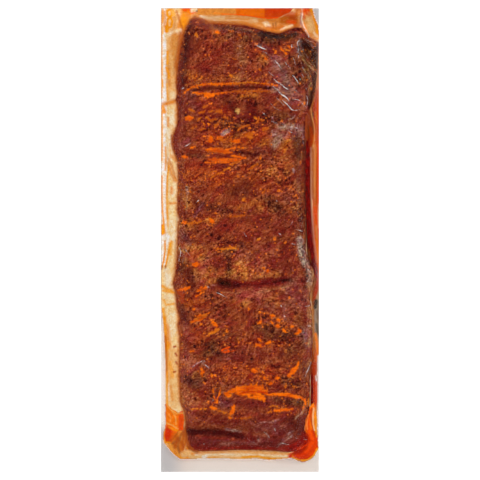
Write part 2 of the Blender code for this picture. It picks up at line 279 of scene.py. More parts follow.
    ("umber", 0.5, 5, 4, ((268, 200), (276, 207), (281, 213))),
    ("umber", 0.4, 3, 4, ((221, 208), (228, 213))),
    ("plum", 0.9, 1.8, 2, ((203, 204), (199, 210), (195, 216))),
    ("mauve", 0.7, 0.7, 1.2, ((201, 206), (197, 213))),
    ("sheen_haze", 0.9, 1.0, 1.0, ((186.8, 187.4), (187.8, 193))),
    ("tan_brown", 0.9, 0.8, 1.0, ((187.4, 193), (187, 204), (186.6, 212))),
    ("tan_brown", 0.4, 1.6, 3, ((296, 180), (299, 200))),
    ("amber", 0.5, 4, 4, ((182, 224), (196, 223), (212, 219))),
    ("red_brown", 0.5, 8, 7, ((228, 228), (246, 232))),
    ("maroon", 0.4, 6, 6, ((262, 224), (276, 230), (288, 226))),
    ("umber", 0.5, 3, 3.4, ((222, 250), (232, 251), (243, 244))),
    ("plum", 0.8, 3, 2.6, ((184, 236), (190, 243))),
    ("tan_brown", 0.7, 0.7, 1.6, ((180, 246), (184, 250), (187, 256), (186, 262))),
    ("sheen_haze", 0.5, 0.5, 1.2, ((182, 252), (184.6, 257), (183, 262))),
    ("dark_maroon", 0.7, 6, 5, ((182, 266), (190, 274), (191, 284))),
    ("rose", 0.5, 4, 4, ((208, 258), (204, 268), (200, 278))),
    ("umber", 0.65, 2.6, 3, ((228, 257), (229, 271))),
    ("rose", 0.45, 7, 6, ((240, 254), (252, 262), (262, 268))),
    ("rose", 0.4, 4, 4, ((256, 246), (274, 250))),
    ("maroon", 0.6, 9, 7, ((278, 261), (290, 268))),
    # Painted shade in the furrow near y 283, partly char, down to the second char line
    ("wine", 0.95, 4, 3, ((222, 283), (240, 284), (262, 283), (284, 280))),
    ("dark_maroon", 1.0, 4.2, 3, ((221, 282), (227, 283), (233, 285))),
    ("sable", 0.8, 2.4, 3, ((222, 282), (229, 284))),
    ("char", 0.6, 1.2, 2, ((223, 283), (229, 284))),
    ("dark_maroon", 0.7, 1.0, 1.4, ((240, 284), (254, 285), (268, 283.4))),
    ("sable", 0.7, 1.2, 1.6, ((272, 281.6), (284, 279.6), (292, 281))),
    ("char", 0.6, 1.6, 1.6, ((282, 281), (290, 278.4))),
    ("wine", 0.4, 3, 3, ((224, 276), (233, 279))),
    # A painted highlight on the lit lower wall of the furrow
    ("tan_brown", 0.75, 0.4, 0.9, ((216, 291), (232, 292.6), (250, 292.8), (266, 290.8),
                                  (282, 287.6), (292, 285))),
    ("rose", 0.5, 5, 5, ((240, 298), (264, 294))),
    ("amber", 0.4, 3, 4, ((234, 302), (244, 304))),
    ("mauve", 0.5, 2, 4, ((284, 306), (286, 318))),
    ("plum", 0.4, 4, 4, ((258, 303), (272, 307))),
    ("dark_maroon", 0.7, 3, 3.4, ((181, 305), (184, 316), (187, 322))),
    ("rose", 0.55, 4, 4, ((184, 326), (192, 337))),
    ("umber", 0.55, 5, 5, ((258, 326), (272, 334), (292, 334))),
    ("umber", 0.65, 5, 5, ((216, 343), (206, 350), (218, 352))),
    ("umber", 0.4, 4, 4, ((226, 334), (237, 338))),
    ("rust", 0.35, 3, 4, ((222, 346), (244, 342), (262, 342), (284, 344))),
    ("maroon", 0.5, 7, 6, ((238, 354), (252, 366))),
    ("rose", 0.7, 5, 4, ((185, 357), (193, 365), (187, 371))),
    ("sheen_haze", 0.5, 0.5, 1.2, ((192, 367), (197, 362.4), (204, 361))), ("sheen_haze", 0.4, 0.5, 1.2, ((202, 362), (209, 366.6))),
    ("sable", 0.6, 4, 4, ((187, 378), (194, 384))),
    ("rose", 0.6, 5, 5, ((187, 394), (194, 402), (192, 416))),
    ("rust", 0.45, 8, 7, ((226, 368), (258, 372), (276, 376))),
    ("umber", 0.5, 5, 5, ((286, 352), (302, 346))),
    ("umber", 0.5, 4, 4, ((284, 380), (300, 384))),
    ("tan_brown", 0.45, 0.8, 1.2, ((194.8, 442), (196, 442.6))),
    ("plum", 0.9, 3.4, 3, ((218, 398), (223, 404), (229, 402))),
    ("maroon", 0.85, 4.2, 3, ((239, 401), (252, 404), (266, 402))),
    ("umber", 0.7, 3.4, 3, ((276, 399), (290, 402), (303, 402))),
    ("maroon", 0.6, 4, 4, ((198, 414), (222, 421), (246, 423), (270, 418))),
    # A painted highlight on a fold at the bottom right, with a haze line beside it
    ("tan_brown", 0.5, 1.4, 2, ((308, 403.6), (303, 410), (296, 417))),
    ("sheen_haze", 0.6, 0.5, 0.9, ((302, 411), (296, 416.6))),
    ("rib", 0.85, 8, 4, ((194, 441), (240, 444), (292, 444))),
    ("plum", 0.5, 6, 6, ((258, 427), (284, 428))),
    # The mauve and haze lines here are painted sheen of the film
    ("mauve", 0.6, 0.8, 1.2, ((260, 421.6), (272, 421), (280, 418), (286, 415.6))),
    ("sheen_haze", 0.5, 0.6, 1, ((287, 434), (290, 431), (293.4, 430))),
    ("sheen_haze", 0.4, 0.6, 1, ((288, 437.4), (291.4, 434.6))),
    ("sheen_haze", 0.45, 0.7, 1.2, ((277, 446.4), (279.6, 443), (283, 441.6))),
    ("sheen_haze", 0.4, 0.6, 1, ((266, 432), (268, 436), (267, 440))),
    ("dark_maroon", 0.55, 6, 5, ((293, 422), (303, 434))),
    ("wine", 0.7, 3, 3, ((296, 445), (306, 440))),
    ("maroon", 0.6, 4, 4, ((191, 438), (202, 443), (216, 444))),
    ("red_brown", 0.7, 2.0, 2.4, ((232, 438), (246, 440), (256, 436))), ("mauve", 0.5, 0.9, 1.6, ((222, 443), (240, 441), (256, 443))),
    ("mauve", 0.4, 0.5, 1.2, ((206, 441.6), (218, 440), (230, 438.6))),
    ("blood", 0.95, 4.4, 3.6, ((289, 448), (297, 445), (303, 440), (306, 434))),
    ("ember", 0.6, 1.2, 2, ((292, 451), (301, 447), (306, 441))),
    # Painted shade in the furrow near y 431, partly char; the haze line after the red_brown one is painted sheen
    ("dark_maroon", 0.95, 3.2, 2.4, ((188, 431.6), (210, 431), (228, 432.4), (242, 435.6))),
    ("char", 0.25, 1.2, 1.4, ((187.6, 429.6), (204, 429.4), (218, 430))),
    ("red_brown", 0.7, 0.9, 1.2, ((196, 434.6), (212, 437), (232, 438))),
    ("sheen_haze", 0.5, 1.0, 1.1, ((226, 428.2), (234, 429.6), (241, 430.4))),
    ("blood", 0.8, 1.6, 2, ((192, 447), (214, 448), (240, 446.6), (272, 448), (296, 447.6))),
    ("maroon", 0.6, 3, 3, ((252, 438), (270, 440), (282, 434))),
    ("red_brown", 0.6, 1.6, 2, ((262, 418), (278, 416), (292, 412))),
    # More painted sheen of the film at the bottom
    ("mauve", 0.5, 1.4, 2, ((258, 436), (259, 441))),
    ("mauve", 0.5, 1.6, 2.4, ((273, 427), (276, 432))),
    ("mauve", 0.45, 1.6, 2.4, ((283, 440), (291, 435))),
    # Painted grey sheen of the film down the rack's right side
    ("grey_sheen", 0.8, 2.6, 2.4, ((299, 239), (301, 252), (304, 264))),
    ("grey_sheen", 0.5, 2.4, 2.4, ((306, 262), (309, 272), (310, 281))),
    ("sheen_haze", 0.6, 0.5, 0.9, ((299, 240), (300, 248), (303, 256), (304, 262))),
    ("tan_brown", 0.6, 3, 2.6, ((308, 266), (310, 278), (308, 288))),
    ("tan_brown", 0.6, 0.6, 0.9, ((302, 276), (306, 279), (311, 280))),
    ("sheen_haze", 0.6, 0.6, 0.9, ((308, 270), (311, 276), (311, 284))),
    ("char", 0.5, 1, 1.6, ((304, 272), (306, 278), (304, 286))),
    ("tan_brown", 0.6, 1.6, 2, ((311, 262), (313.6, 272), (312.6, 283))),
    ("tan_brown", 0.75, 1.8, 2.4, ((309.6, 294), (309.4, 312), (309.6, 330), (309, 344))),
    ("tan_brown", 0.5, 1.2, 2, ((310, 360), (306, 372), (303, 378))),
)

# Rendered fat on the meat: colour, half width and the line that it follows

SMEARS = (
    ("smear", 0.6, ((184, 95), (187, 91), (193, 88), (199, 86))),
    ("smear", 0.9, ((197, 86.4), (207, 84.8), (222, 85), (238, 84.4))),
    ("smear_pale", 0.4, ((236, 84), (247, 83.4), (261, 83.8))),
    ("smear", 0.6, ((260, 84), (268, 85.2), (277, 86.4))),
    ("smear", 0.7, ((193, 93.4), (205, 94.4), (217, 94.8), (228, 93))),
    ("cinnamon", 0.5, ((227, 93), (245, 92), (262, 92), (272, 91.4))),
    ("smear", 1.5, ((205, 96), (209, 97.4), (214, 96))),
    ("orange_rust", 2.0, ((207, 150.4), (216, 150.4), (225, 152), (231, 153.4))), ("smear", 0.9, ((208, 150), (217, 149.6))),
    ("smear", 0.5, ((225, 150), (238, 148), (246, 148.6))),
    ("orange_rust", 1.4, ((209, 160), (222, 160.4), (236, 159.4))),
    ("smear", 0.5, ((206, 163), (226, 163), (245, 158.8))),
    ("smear", 0.7, ((232, 156), (240, 157.4), (246, 158.6))),
    ("smear", 3.0, ((230, 391), (238, 388.4), (248, 388), (258, 389.4), (266, 391.4))),
    ("smear", 2.0, ((247, 386.6), (254, 386), (262, 387.4))),
    ("smear", 0.4, ((245.6, 383.4), (246.6, 387))), ("smear", 0.5, ((250.4, 382.6), (251, 386))),
    ("smear", 0.5, ((256.4, 382.8), (256.8, 386))), ("smear", 0.5, ((262.4, 383.6), (263, 388))),
    ("smear", 0.3, ((234, 386.6), (235.4, 389))), ("smear", 0.4, ((266.6, 387), (268, 391))),
    ("smear", 3.2, ((238, 392), (248, 391.4), (260, 393.6))),
    ("bright", 1.6, ((246, 394.6), (255, 396), (262, 398))),
    ("bright", 2.2, ((257, 393), (262, 396.4), (264, 399.6))),
    ("smear_deep", 0.5, ((240, 393), (250, 390.6), (262, 392))), ("crust", 0.8, ((243.6, 395.8), (247.6, 395.4))),
    ("crust", 0.4, ((250, 395), (253, 394.4))), ("smear_deep", 0.7, ((258, 390), (268, 392.6))),
    ("smear_deep", 0.5, ((270, 394.4), (290, 395), (302, 397.6))), ("smear_deep", 0.4, ((247, 388), (257, 387.6))),
    ("smear", 2.0, ((225.6, 392.4), (230, 395))),
    ("smear", 1.5, ((268, 394), (284, 393.4), (292, 394.6), (300, 396.8), (304.6, 398.6))),
    ("smear", 0.7, ((304.8, 398), (305, 405), (302.6, 408))),
    ("smear_pale", 0.7, ((308.2, 398), (308.6, 405))),
    ("smear", 1.2, ((272, 410), (278, 409), (285, 408.6), (292, 408.2))),
    ("smear_pale", 0.6, ((268, 411), (273, 410.4))),
    ("smear_pale", 0.4, ((270, 405.8), (273, 404.8), (277, 405.4))),
    ("smear", 1.7, ((233.4, 405), (233, 410), (230.6, 412.4))),
    ("smear", 0.5, ((213, 388), (214, 395), (216.4, 402), (219, 394), (221, 388))),
    ("smear", 1.5, ((211.4, 406.4), (216, 407.6))),
    ("smear_pale", 0.5, ((192.2, 408.4), (194.4, 407.8))), ("smear_pale", 0.3, ((196.6, 407.4), (198.2, 407.4))),
    ("smear_pale", 0.4, ((200, 408), (201.6, 407.8))), ("smear_pale", 0.7, ((204.6, 407.8), (206.4, 407.6))),
    ("cinnamon", 0.6, ((218, 409), (224, 411.6), (229, 413))),
    ("smear", 0.9, ((229, 416), (231, 417.4))),
    ("cinnamon", 0.4, ((238, 417), (246, 417.4), (251, 415.6))),
    ("smear", 2.3, ((187, 119.2), (191.6, 118.8))),
    ("wheat", 2.0, ((237.6, 110.4), (237.8, 113.4))),
    ("smear", 2.2, ((211.4, 138), (210.4, 142))),
    ("smear", 1.7, ((217.6, 139), (222, 138.4))),
    ("smear", 1.6, ((232.6, 141.6), (240, 142))),
    ("cinnamon", 2.4, ((246, 135.8), (252, 135.2))),
    ("cinnamon", 2.0, ((263.4, 130.4), (266.4, 128.8))),
    ("cinnamon", 0.9, ((256, 124), (259, 120), (263, 121.4))),
    ("cinnamon", 0.8, ((238, 131), (243, 127), (249, 126))),
    ("smear_pale", 0.5, ((253.6, 116.6), (257.6, 121))),
    ("cinnamon", 1.3, ((199, 114), (204, 112.6))),
    ("cinnamon", 1.2, ((217, 112), (222, 113.6))),
    ("cinnamon", 1.0, ((190, 110), (194, 112))),
    ("cinnamon", 1.0, ((206, 118), (210, 121), (216, 120))),
    ("cinnamon", 0.9, ((224, 118), (228, 119.6))),
    ("smear", 1.4, ((183, 157.4), (187, 157.6))),
    ("smear", 0.8, ((191, 148.6), (195, 147.6))),
    ("cinnamon", 0.8, ((210, 178.6), (214, 176.6), (217, 174.8))),
    ("smear_pale", 1.3, ((219, 174), (221.6, 173.2))), ("cinnamon", 0.7, ((223, 171.4), (226, 169.8))),
    ("smear_pale", 0.9, ((228, 169), (230, 167.6))), ("cinnamon", 0.6, ((231, 165.6), (238.6, 161.6))),
    ("cinnamon", 0.9, ((248, 170), (254, 166.4), (257.6, 164.6))),
    ("smear_pale", 0.6, ((242, 200.4), (245.6, 199))),
    ("cinnamon", 0.5, ((228, 217), (238, 216.4), (246, 215))),
    ("smear", 1.7, ((182.6, 222.6), (186.4, 222.4))),
    ("cinnamon", 0.8, ((188, 223.4), (198, 222.6), (201.6, 221))),
    ("smear", 1.6, ((210.6, 219.4), (213, 222.6))),
    ("smear_pale", 0.6, ((215, 248.4), (223, 249), (230, 247.8), (235.6, 248.6))),
    ("smear", 2.4, ((194, 264.6), (198.4, 264.2))),
    ("cinnamon", 1.8, ((198, 290.8), (206, 287.8))), ("smear", 0.8, ((197.4, 291.4), (200.4, 290.2))),
    ("smear", 0.8, ((202.6, 289), (206.6, 286.8))), ("smear", 0.5, ((200, 287.6), (202.4, 286.4))),
    ("smear", 0.7, ((196, 296), (198.4, 294.8))), ("smear", 0.6, ((200, 294), (203.4, 292))),
    ("smear", 1.3, ((178.6, 290), (186, 288.6), (190, 287))),
    ("rust", 1.9, ((179, 292), (183, 295.6), (182, 302))),
    ("smear", 0.8, ((191, 321.6), (199, 319.6), (206, 316.6))), ("smear", 0.7, ((200, 316.6), (209, 312.6))),
    ("cinnamon", 1.6, ((196, 318.6), (207, 314.4))), ("smear", 0.6, ((196, 316), (201, 314))),
    ("smear", 1.7, ((212, 321.4), (217, 325.4))),
    ("smear_pale", 1.2, ((209.4, 333), (214.6, 331), (219, 328))),
    ("smear", 0.9, ((193, 308.4), (195, 309.4))),
    ("smear", 1.4, ((258.6, 322.4), (262, 320.8))),
    ("smear", 1.4, ((270.6, 315.2), (273.6, 315.6))),
    ("smear", 1.3, ((277.4, 319.6), (279.4, 321))),
    ("smear", 1.1, ((271, 321.6), (273, 323))),
    ("smear", 1.3, ((276, 325.4), (279, 325.8))),
    ("smear", 0.8, ((290, 326), (294, 325.8))),
    ("smear", 1.6, ((298.4, 329.4), (300, 331.4))),
    ("smear", 1.0, ((295, 333.2), (298, 332.8))),
    ("smear", 1.1, ((258.4, 338), (261, 340.6))),
    ("smear", 1.2, ((266, 343), (270, 341.4))),
    ("smear", 0.9, ((256, 344), (262, 346))),
    ("smear", 1.0, ((282, 329), (285, 331))),
    ("flame", 0.5, ((221.6, 350.6), (224, 348.4), (229.6, 346.6))), ("flame", 0.4, ((223, 352), (228, 351))),
    ("smear_deep", 0.3, ((231, 351), (235, 349.8))), ("flame", 0.2, ((227.6, 349.4), (230, 350.4))),
    ("smear", 0.8, ((191, 351), (194, 350.4))),
    ("smear", 2.1, ((289, 374.6), (292.6, 370.4), (296, 366.6))),
    ("smear", 1.0, ((297, 365), (298.2, 361.4))),
    ("smear", 0.9, ((201, 367.4), (203.6, 370.6), (202, 374.6))), ("smear", 1.2, ((202.4, 370), (203, 371.4))),
    ("smear", 1.8, ((252.6, 369.2), (256, 371))),
    ("smear", 1.3, ((276, 377.6), (278.6, 376.6))),
    ("smear", 1.1, ((269, 383.4), (271.6, 382.6))),
    ("smear", 0.8, ((262, 376), (266.6, 378.6))),
    ("smear", 1.1, ((216, 32), (218.6, 34.4))),
    ("cinnamon", 0.5, ((229, 31.6), (234, 33))),
    ("cinnamon", 0.6, ((238, 35.6), (241, 37))),
    ("cinnamon", 0.9, ((203, 108), (206, 107))), ("cinnamon", 0.8, ((210, 112.6), (213, 111))),
    ("cinnamon", 0.9, ((198, 121), (201, 119))), ("cinnamon", 0.7, ((214, 127), (218, 125))),
    ("cinnamon", 1.4, ((220, 139), (223, 141))), ("cinnamon", 0.8, ((200, 131), (204, 129.6))),
    ("cinnamon", 0.8, ((193, 129), (196, 127))), ("cinnamon", 1.2, ((248, 137.6), (252, 138.4))),
    ("smear_pale", 0.9, ((195.6, 34.4), (197.4, 37.6))),
    ("smear", 0.4, ((280, 48.6), (283, 52.4), (287, 55))),
    ("smear", 0.5, ((287.6, 47), (291, 49))),
    ("smear_pale", 0.5, ((286, 50.8), (289, 52))),
    ("smear_pale", 0.8, ((230, 76), (232, 77.4))),
    ("smear", 0.7, ((265, 59), (266.6, 61))),
    ("smear", 0.9, ((267.6, 269), (267.8, 271.4))),
    ("smear_pale", 0.7, ((257, 240.6), (260, 238.8))),
)

# Where small flecks of fat and grains of pepper crowd: strength, half width and line

FLECK_PLACES = (
    (0.8, 4, ((180, 72), (188, 79), (198, 82))), (0.9, 5, ((250, 78), (262, 80))),
    (0.3, 4, ((204, 79), (240, 80))), (0.5, 4, ((234, 98), (246, 97))),
    (1.0, 7, ((208, 124), (228, 124), (256, 130))), (0.8, 6, ((200, 142), (232, 140))),
    (0.8, 8, ((214, 176), (236, 168), (262, 168))), (0.7, 8, ((184, 176), (202, 182))),
    (0.7, 8, ((262, 196), (284, 190), (296, 196))), (0.9, 5, ((188, 224), (214, 220))),
    (1.0, 4, ((216, 249), (238, 248))), (0.5, 8, ((240, 256), (260, 268))),
    (1.0, 8, ((262, 318), (288, 324))), (0.9, 8, ((198, 318), (222, 330))),
    (0.8, 5, ((224, 342), (290, 343))), (0.7, 9, ((206, 374), (262, 374))),
    (0.8, 5, ((280, 380), (302, 384))), (0.7, 6, ((262, 50), (290, 54))),
    (0.7, 5, ((212, 386), (216, 404))), (0.6, 8, ((200, 100), (212, 104))),
)
PEPPER_PLACES = (
    (1.0, 4, ((243, 32), (262, 37), (284, 38), (296, 34))),
    (1.0, 4, ((300, 242), (304, 262), (308, 280))),
    (0.9, 6, ((192, 32), (206, 40))), (1.0, 6, ((228, 32), (250, 42))),
    (0.7, 5, ((256, 58), (262, 66))), (0.8, 6, ((292, 62), (300, 84))),
    (0.9, 5, ((236, 98), (262, 101))), (0.9, 6, ((222, 124), (250, 126))),
    (0.8, 5, ((264, 120), (282, 122))), (0.8, 6, ((246, 164), (266, 176))),
    (0.8, 8, ((276, 170), (298, 206))), (1.0, 6, ((266, 198), (280, 212))),
    (1.0, 4, ((216, 208), (230, 212))), (0.9, 5, ((184, 222), (196, 226))),
    (1.0, 5, ((216, 242), (240, 250))), (0.9, 4, ((228, 258), (231, 273))),
    (0.8, 5, ((208, 262), (216, 270))), (0.9, 9, ((262, 322), (290, 340))),
    (0.9, 6, ((200, 344), (232, 350))), (0.8, 6, ((280, 378), (302, 384))),
    (0.9, 5, ((286, 394), (306, 404))), (0.7, 5, ((262, 40), (290, 44))),
    (0.7, 6, ((210, 300), (222, 310))), (0.7, 6, ((300, 200), (302, 228))),
)

# Colours of the fat round the rack: colour, strength, half width, softness and line

# Thin white and ivory lines along the film's folds are painted highlights, as are the pale spots on the ridge
MARGIN_TONES = (
    # The white bands along the left edge are the whitish film side, partly painted sheen
    ("white", 1.0, 3.6, 1.4, ((162.6, 8), (163, 110), (163, 200), (162.6, 262))),
    ("butter", 0.9, 1.6, 1.4, ((168, 34), (168.6, 60), (168.6, 98))),
    ("honey", 0.8, 2.6, 2, ((169, 62), (169.4, 72), (169, 84))), ("apricot", 0.35, 4, 3, ((172, 16), (172, 90))),
    ("pale", 0.9, 3.4, 2, ((168.6, 132), (169.6, 146), (169, 158))),
    ("gold", 0.9, 0.9, 0.8, ((162.6, 10), (163.2, 16), (162.4, 22))),
    ("apricot", 0.7, 0.8, 0.8, ((164.8, 12), (165.2, 20), (164.4, 26))),
    ("apricot", 1.0, 6, 2.4, ((187, 9), (186, 18), (183, 26))),
    ("marigold", 0.8, 3, 2, ((184, 17), (184.6, 25))),
    ("bronze", 0.7, 0.8, 1, ((176.6, 11), (179, 19), (182.6, 29), (184, 33))),
    ("honey", 0.6, 2.4, 1.8, ((173.6, 12), (175, 22), (173, 32))),
    ("marigold", 1.0, 0.9, 0.7, ((167, 11), (169.6, 9.4), (172.2, 11), (172.4, 15), (170, 17.4),
                                 (167.4, 15.6), (167, 11))),
    ("marigold", 1.0, 0.8, 0.7, ((168, 19), (171, 18.4), (172.4, 22), (171.4, 27), (168.6, 28),
                                 (167.2, 24), (168, 19))),
    ("marigold", 1.0, 2.0, 0.8, ((166.6, 27), (166.8, 31))),
    ("light_orange", 0.9, 1.2, 0.9, ((172.4, 10), (174, 15))),
    ("light_orange", 0.8, 1.2, 1, ((162.6, 28), (162.6, 33))),
    ("pale", 0.8, 1.6, 1.2, ((166, 36), (172, 33.6), (180, 31))),
    ("flame", 0.9, 1.6, 1, ((184.6, 9.6), (189, 10.4))),
    ("orange", 1.0, 1.0, 0.8, ((188, 11), (191.4, 13.4))),
    ("pale", 0.9, 2.6, 1.2, ((193, 10.6), (199, 11))),
    ("soot", 0.8, 0.8, 0.7, ((197, 11.4), (199, 11))),
    ("flame", 0.9, 1.1, 0.8, ((193, 13.6), (195.6, 13.2))),
    ("honey", 0.9, 5, 3, ((175.6, 38), (175.4, 54), (174, 68))),
    ("bronze", 0.6, 3, 3, ((181, 36), (180, 50), (178.2, 66))),
    ("copper", 0.8, 2.4, 2, ((182, 34), (180.6, 50), (178.4, 66), (177.6, 84))),
    ("tan", 0.6, 3, 2.4, ((173, 72), (173, 84))),
    # A thin painted highlight on a fold of the film
    ("white", 0.9, 0.6, 0.7, ((164.2, 34), (164.4, 60), (164.6, 96))),
    ("butter", 0.6, 2, 2, ((171, 58), (173, 74), (173, 92))),
    ("pale", 0.7, 2.2, 2, ((172, 94), (174, 100))),
    ("tan", 0.9, 2.4, 1.8, ((164, 104), (170, 103), (177, 101))),
    ("apricot", 0.8, 0.9, 1, ((166, 104), (174, 102))),
    ("gold", 0.95, 0.3, 0.5, ((161.8, 12), (161.6, 34), (162, 48), (161.6, 66), (162, 84),
                              (161.8, 98))),
    ("gold", 0.95, 0.8, 0.7, ((167.6, 52), (167.4, 64))),
    ("gold", 0.95, 0.9, 0.7, ((166.4, 68), (168.8, 74), (169, 78))),
    ("gold", 0.9, 0.7, 0.7, ((161.8, 60), (162, 74))),
    ("gold", 0.9, 0.9, 0.8, ((162, 80), (162.4, 86))),
    ("gold", 0.8, 0.6, 0.7, ((166.6, 84), (168, 100))),
    ("marigold", 0.9, 1.7, 0.9, ((162.4, 107), (164.6, 112))),
    ("pale", 0.8, 3, 2, ((172, 112), (172, 128))),
    ("tan", 0.6, 1.6, 1.6, ((176.6, 108), (176.8, 122))),
    ("butter", 0.7, 1.6, 1.8, ((172, 126), (173, 140))),
    ("apricot", 0.8, 0.7, 0.8, ((168.4, 118), (168, 126))),
    ("gold", 0.6, 0.4, 0.8, ((169.6, 144), (170.6, 156), (168.4, 164))),
    ("tan", 0.6, 2.4, 2, ((170, 164), (172.6, 171), (175.4, 180))),
    ("apricot", 0.6, 0.9, 1.2, ((168.6, 166), (172, 174), (176.6, 181))),
    ("orange_tan", 0.7, 2, 1.6, ((173, 157), (176, 160))),
    ("gold", 0.95, 0.7, 0.6, ((169, 166), (167.2, 180), (166.8, 200), (167.2, 214), (168.6, 226))),
    ("marigold", 0.8, 0.5, 0.6, ((165.4, 147), (166, 156), (165.2, 170))),
    ("toast", 0.45, 0.6, 0.9, ((168, 158), (172, 166), (175.4, 178))),
    ("toast", 0.3, 0.5, 0.9, ((166.4, 160), (170, 172), (174.6, 182))),
    ("wine", 0.8, 0.8, 1.0, ((171.8, 136), (172, 144), (174, 151), (177, 158))),
    ("pale", 0.7, 2.4, 2, ((172, 186), (173, 196))),
    ("apricot", 0.8, 1.1, 1.2, ((171.8, 188), (171.8, 193))),
    ("light_orange", 0.7, 1.1, 1, ((168, 200), (168.4, 208))),
    ("apricot", 0.7, 0.8, 0.8, ((170, 203.6), (176, 203))),
    ("marigold", 0.9, 0.6, 0.6, ((161.9, 176), (161.8, 198), (162.6, 212), (163.8, 224),
                                 (165.4, 236))),
    ("gold", 0.9, 0.7, 0.6, ((161.8, 112), (162, 140), (161.7, 160))),
    ("film_grey", 0.5, 1.6, 1.6, ((178, 214), (178, 232))),
    ("pale", 0.8, 3.6, 2, ((172, 222), (172.6, 240))),
    ("marigold", 1.0, 1.7, 0.7, ((162.4, 226), (162.6, 233))),
    # Whitish film side, partly painted sheen
    ("white", 1.0, 2.6, 1.4, ((167, 236), (163.6, 250), (162, 262))),
    ("tan_brown", 0.5, 0.9, 1.4, ((176, 240), (175.4, 262), (174, 276))),
    ("marigold", 1.0, 0.5, 0.5, ((165, 241), (165.2, 250), (163.8, 260), (162.2, 267))),
    ("marigold", 1.0, 0.6, 0.5, ((170.4, 243), (168.8, 252), (166.6, 262), (165.4, 267))),
    ("gold", 0.8, 1.2, 1, ((171.6, 242), (170.4, 254))),
    ("brown", 0.8, 0.5, 0.6, ((161.9, 266), (161.6, 269))), ("brown", 0.8, 0.5, 0.6, ((165.6, 266), (165.2, 270))),
    ("pale", 0.9, 3.4, 2, ((166, 272), (169, 284))),
    ("butter", 0.8, 1.6, 1.6, ((174, 262), (173.6, 282))),
    ("gold", 0.9, 1.0, 0.8, ((162, 286), (166, 288.6), (172, 291))),
    ("gold", 0.9, 0.8, 0.8, ((163, 290.6), (170, 292), (175, 292.6))),
    ("pale", 0.8, 1.6, 1.2, ((166, 297), (174, 297))),
    ("gold", 0.8, 0.7, 0.8, ((164, 300), (166, 305), (174, 303.6))),
    ("pale", 0.8, 3, 2, ((172, 314), (172.6, 334))),
    ("gold", 0.9, 1.6, 1.4, ((163, 309), (164, 318))),
    ("marigold", 0.95, 1.3, 1.2, ((164.6, 318), (165.8, 334), (166.8, 350))),
    ("apricot", 0.8, 2.0, 2.0, ((167, 326), (169, 344), (170, 362), (169, 380))),
    ("marigold", 0.9, 2.0, 1.6, ((167.6, 344), (168.6, 358), (168.4, 370))),
    ("bronze", 0.8, 0.8, 0.7, ((165.4, 336), (166.4, 354), (167, 376))),
    ("marigold", 0.9, 0.7, 0.7, ((167.4, 372), (167.2, 390), (167.2, 404))),
    # A thin painted highlight on a fold of the film
    ("white", 0.7, 0.5, 0.6, ((169, 384), (169.4, 400))),
    ("butter", 0.9, 0.9, 0.8, ((184, 404), (185.4, 416), (185, 428))),
    ("tan", 0.8, 1.6, 1.6, ((181, 392), (182.4, 402), (184.4, 412))),
    ("tan", 0.7, 1.4, 1.6, ((178.6, 312), (179.2, 340))),
    ("butter", 0.9, 4.6, 2, ((173, 352), (173.4, 386), (174, 404))),
    ("gold", 0.7, 1.6, 1.6, ((170, 362), (172.6, 376))),
    ("tan", 0.8, 1.4, 1.6, ((178.6, 350), (179.4, 380), (180, 400))),
    ("apricot", 0.6, 1, 1.2, ((171, 386), (172.4, 400))),
    ("rust", 0.95, 0.6, 0.6, ((174, 346.6), (175.6, 346.2))),
    ("rust", 0.9, 0.6, 0.8, ((175.4, 353), (177, 355.4))),
    ("rust", 0.8, 0.7, 0.9, ((176, 361.6), (177.6, 363.6))),
    ("rust", 0.9, 0.5, 0.6, ((173.8, 371.8), (175.6, 371.2))),
    ("orange_tan", 1.0, 10, 2, ((174, 434), (180, 450), (188, 456))),
    ("bronze", 0.9, 5, 2.4, ((172, 436), (178, 444), (186, 450))),
    ("copper", 0.8, 2.4, 2, ((185, 436), (183, 442), (186, 449))),
    ("brown", 0.8, 1.0, 1.4, ((181.6, 433.6), (179, 439), (173, 443))),
    ("brown", 0.7, 0.8, 1.2, ((180, 438), (178, 446), (179.6, 452))),
    ("crust", 0.7, 1.4, 1.6, ((185, 433), (188.4, 442), (193, 449))),
    ("crust", 0.9, 2.2, 2.0, ((184.6, 431), (186.8, 439), (190, 446), (198, 451))),
    ("paprika", 0.6, 1.0, 1.4, ((191, 446), (200, 451.4), (222, 451.4))),
    ("brown", 0.6, 0.8, 1.2, ((222, 450.6), (262, 450.4), (286, 452))),
    ("orange_tan", 0.5, 0.3, 0.8, ((184.6, 433), (184.2, 440), (186.6, 447.4))),
    ("gold", 0.6, 0.3, 0.8, ((184.4, 437), (185.8, 444), (188.4, 450))),
    ("butter", 0.8, 2, 1.6, ((183, 453), (188, 451.4))),
    ("copper", 0.7, 1, 1, ((178, 438), (174.6, 447))),
    ("butter", 0.6, 0.4, 0.8, ((187, 442), (184.6, 450))),
    ("marigold", 0.9, 0.7, 0.7, ((163.8, 442), (169.6, 449.4), (175.4, 455.6), (181, 458.4),
                                 (190, 457.8))),
    ("butter", 0.8, 2, 1.6, ((184, 455), (190, 452))),
    ("butter", 1.0, 4, 1.4, ((192, 455), (230, 454.4), (262, 455), (292, 456))),
    ("pale", 0.8, 0.9, 0.8, ((206, 454.4), (240, 453.6), (266, 454.6), (290, 456))),
    ("ivory", 0.8, 1.0, 1, ((196, 453.6), (210, 453), (230, 452.6))),
    ("gold", 1.0, 0.8, 0.7, ((206, 457), (216, 457), (224, 455.8), (232, 457), (241, 457.4),
                             (252, 456.4), (258, 456), (264, 457.6), (271, 458.8), (284, 458.4),
                             (292, 457.6))),
    ("apricot", 0.8, 0.8, 1, ((192, 453), (240, 451.4), (290, 453.6))),
    # A painted glint on the bottom edge
    ("white", 1.0, 1.3, 0.8, ((203.6, 456.6), (206, 456))),
    ("tan", 1.0, 8, 1.6, ((198, 20), (230, 20), (262, 22), (279, 27), (290, 22))),
    # Peach and pale lines on the top ridge, here and below, are painted highlights
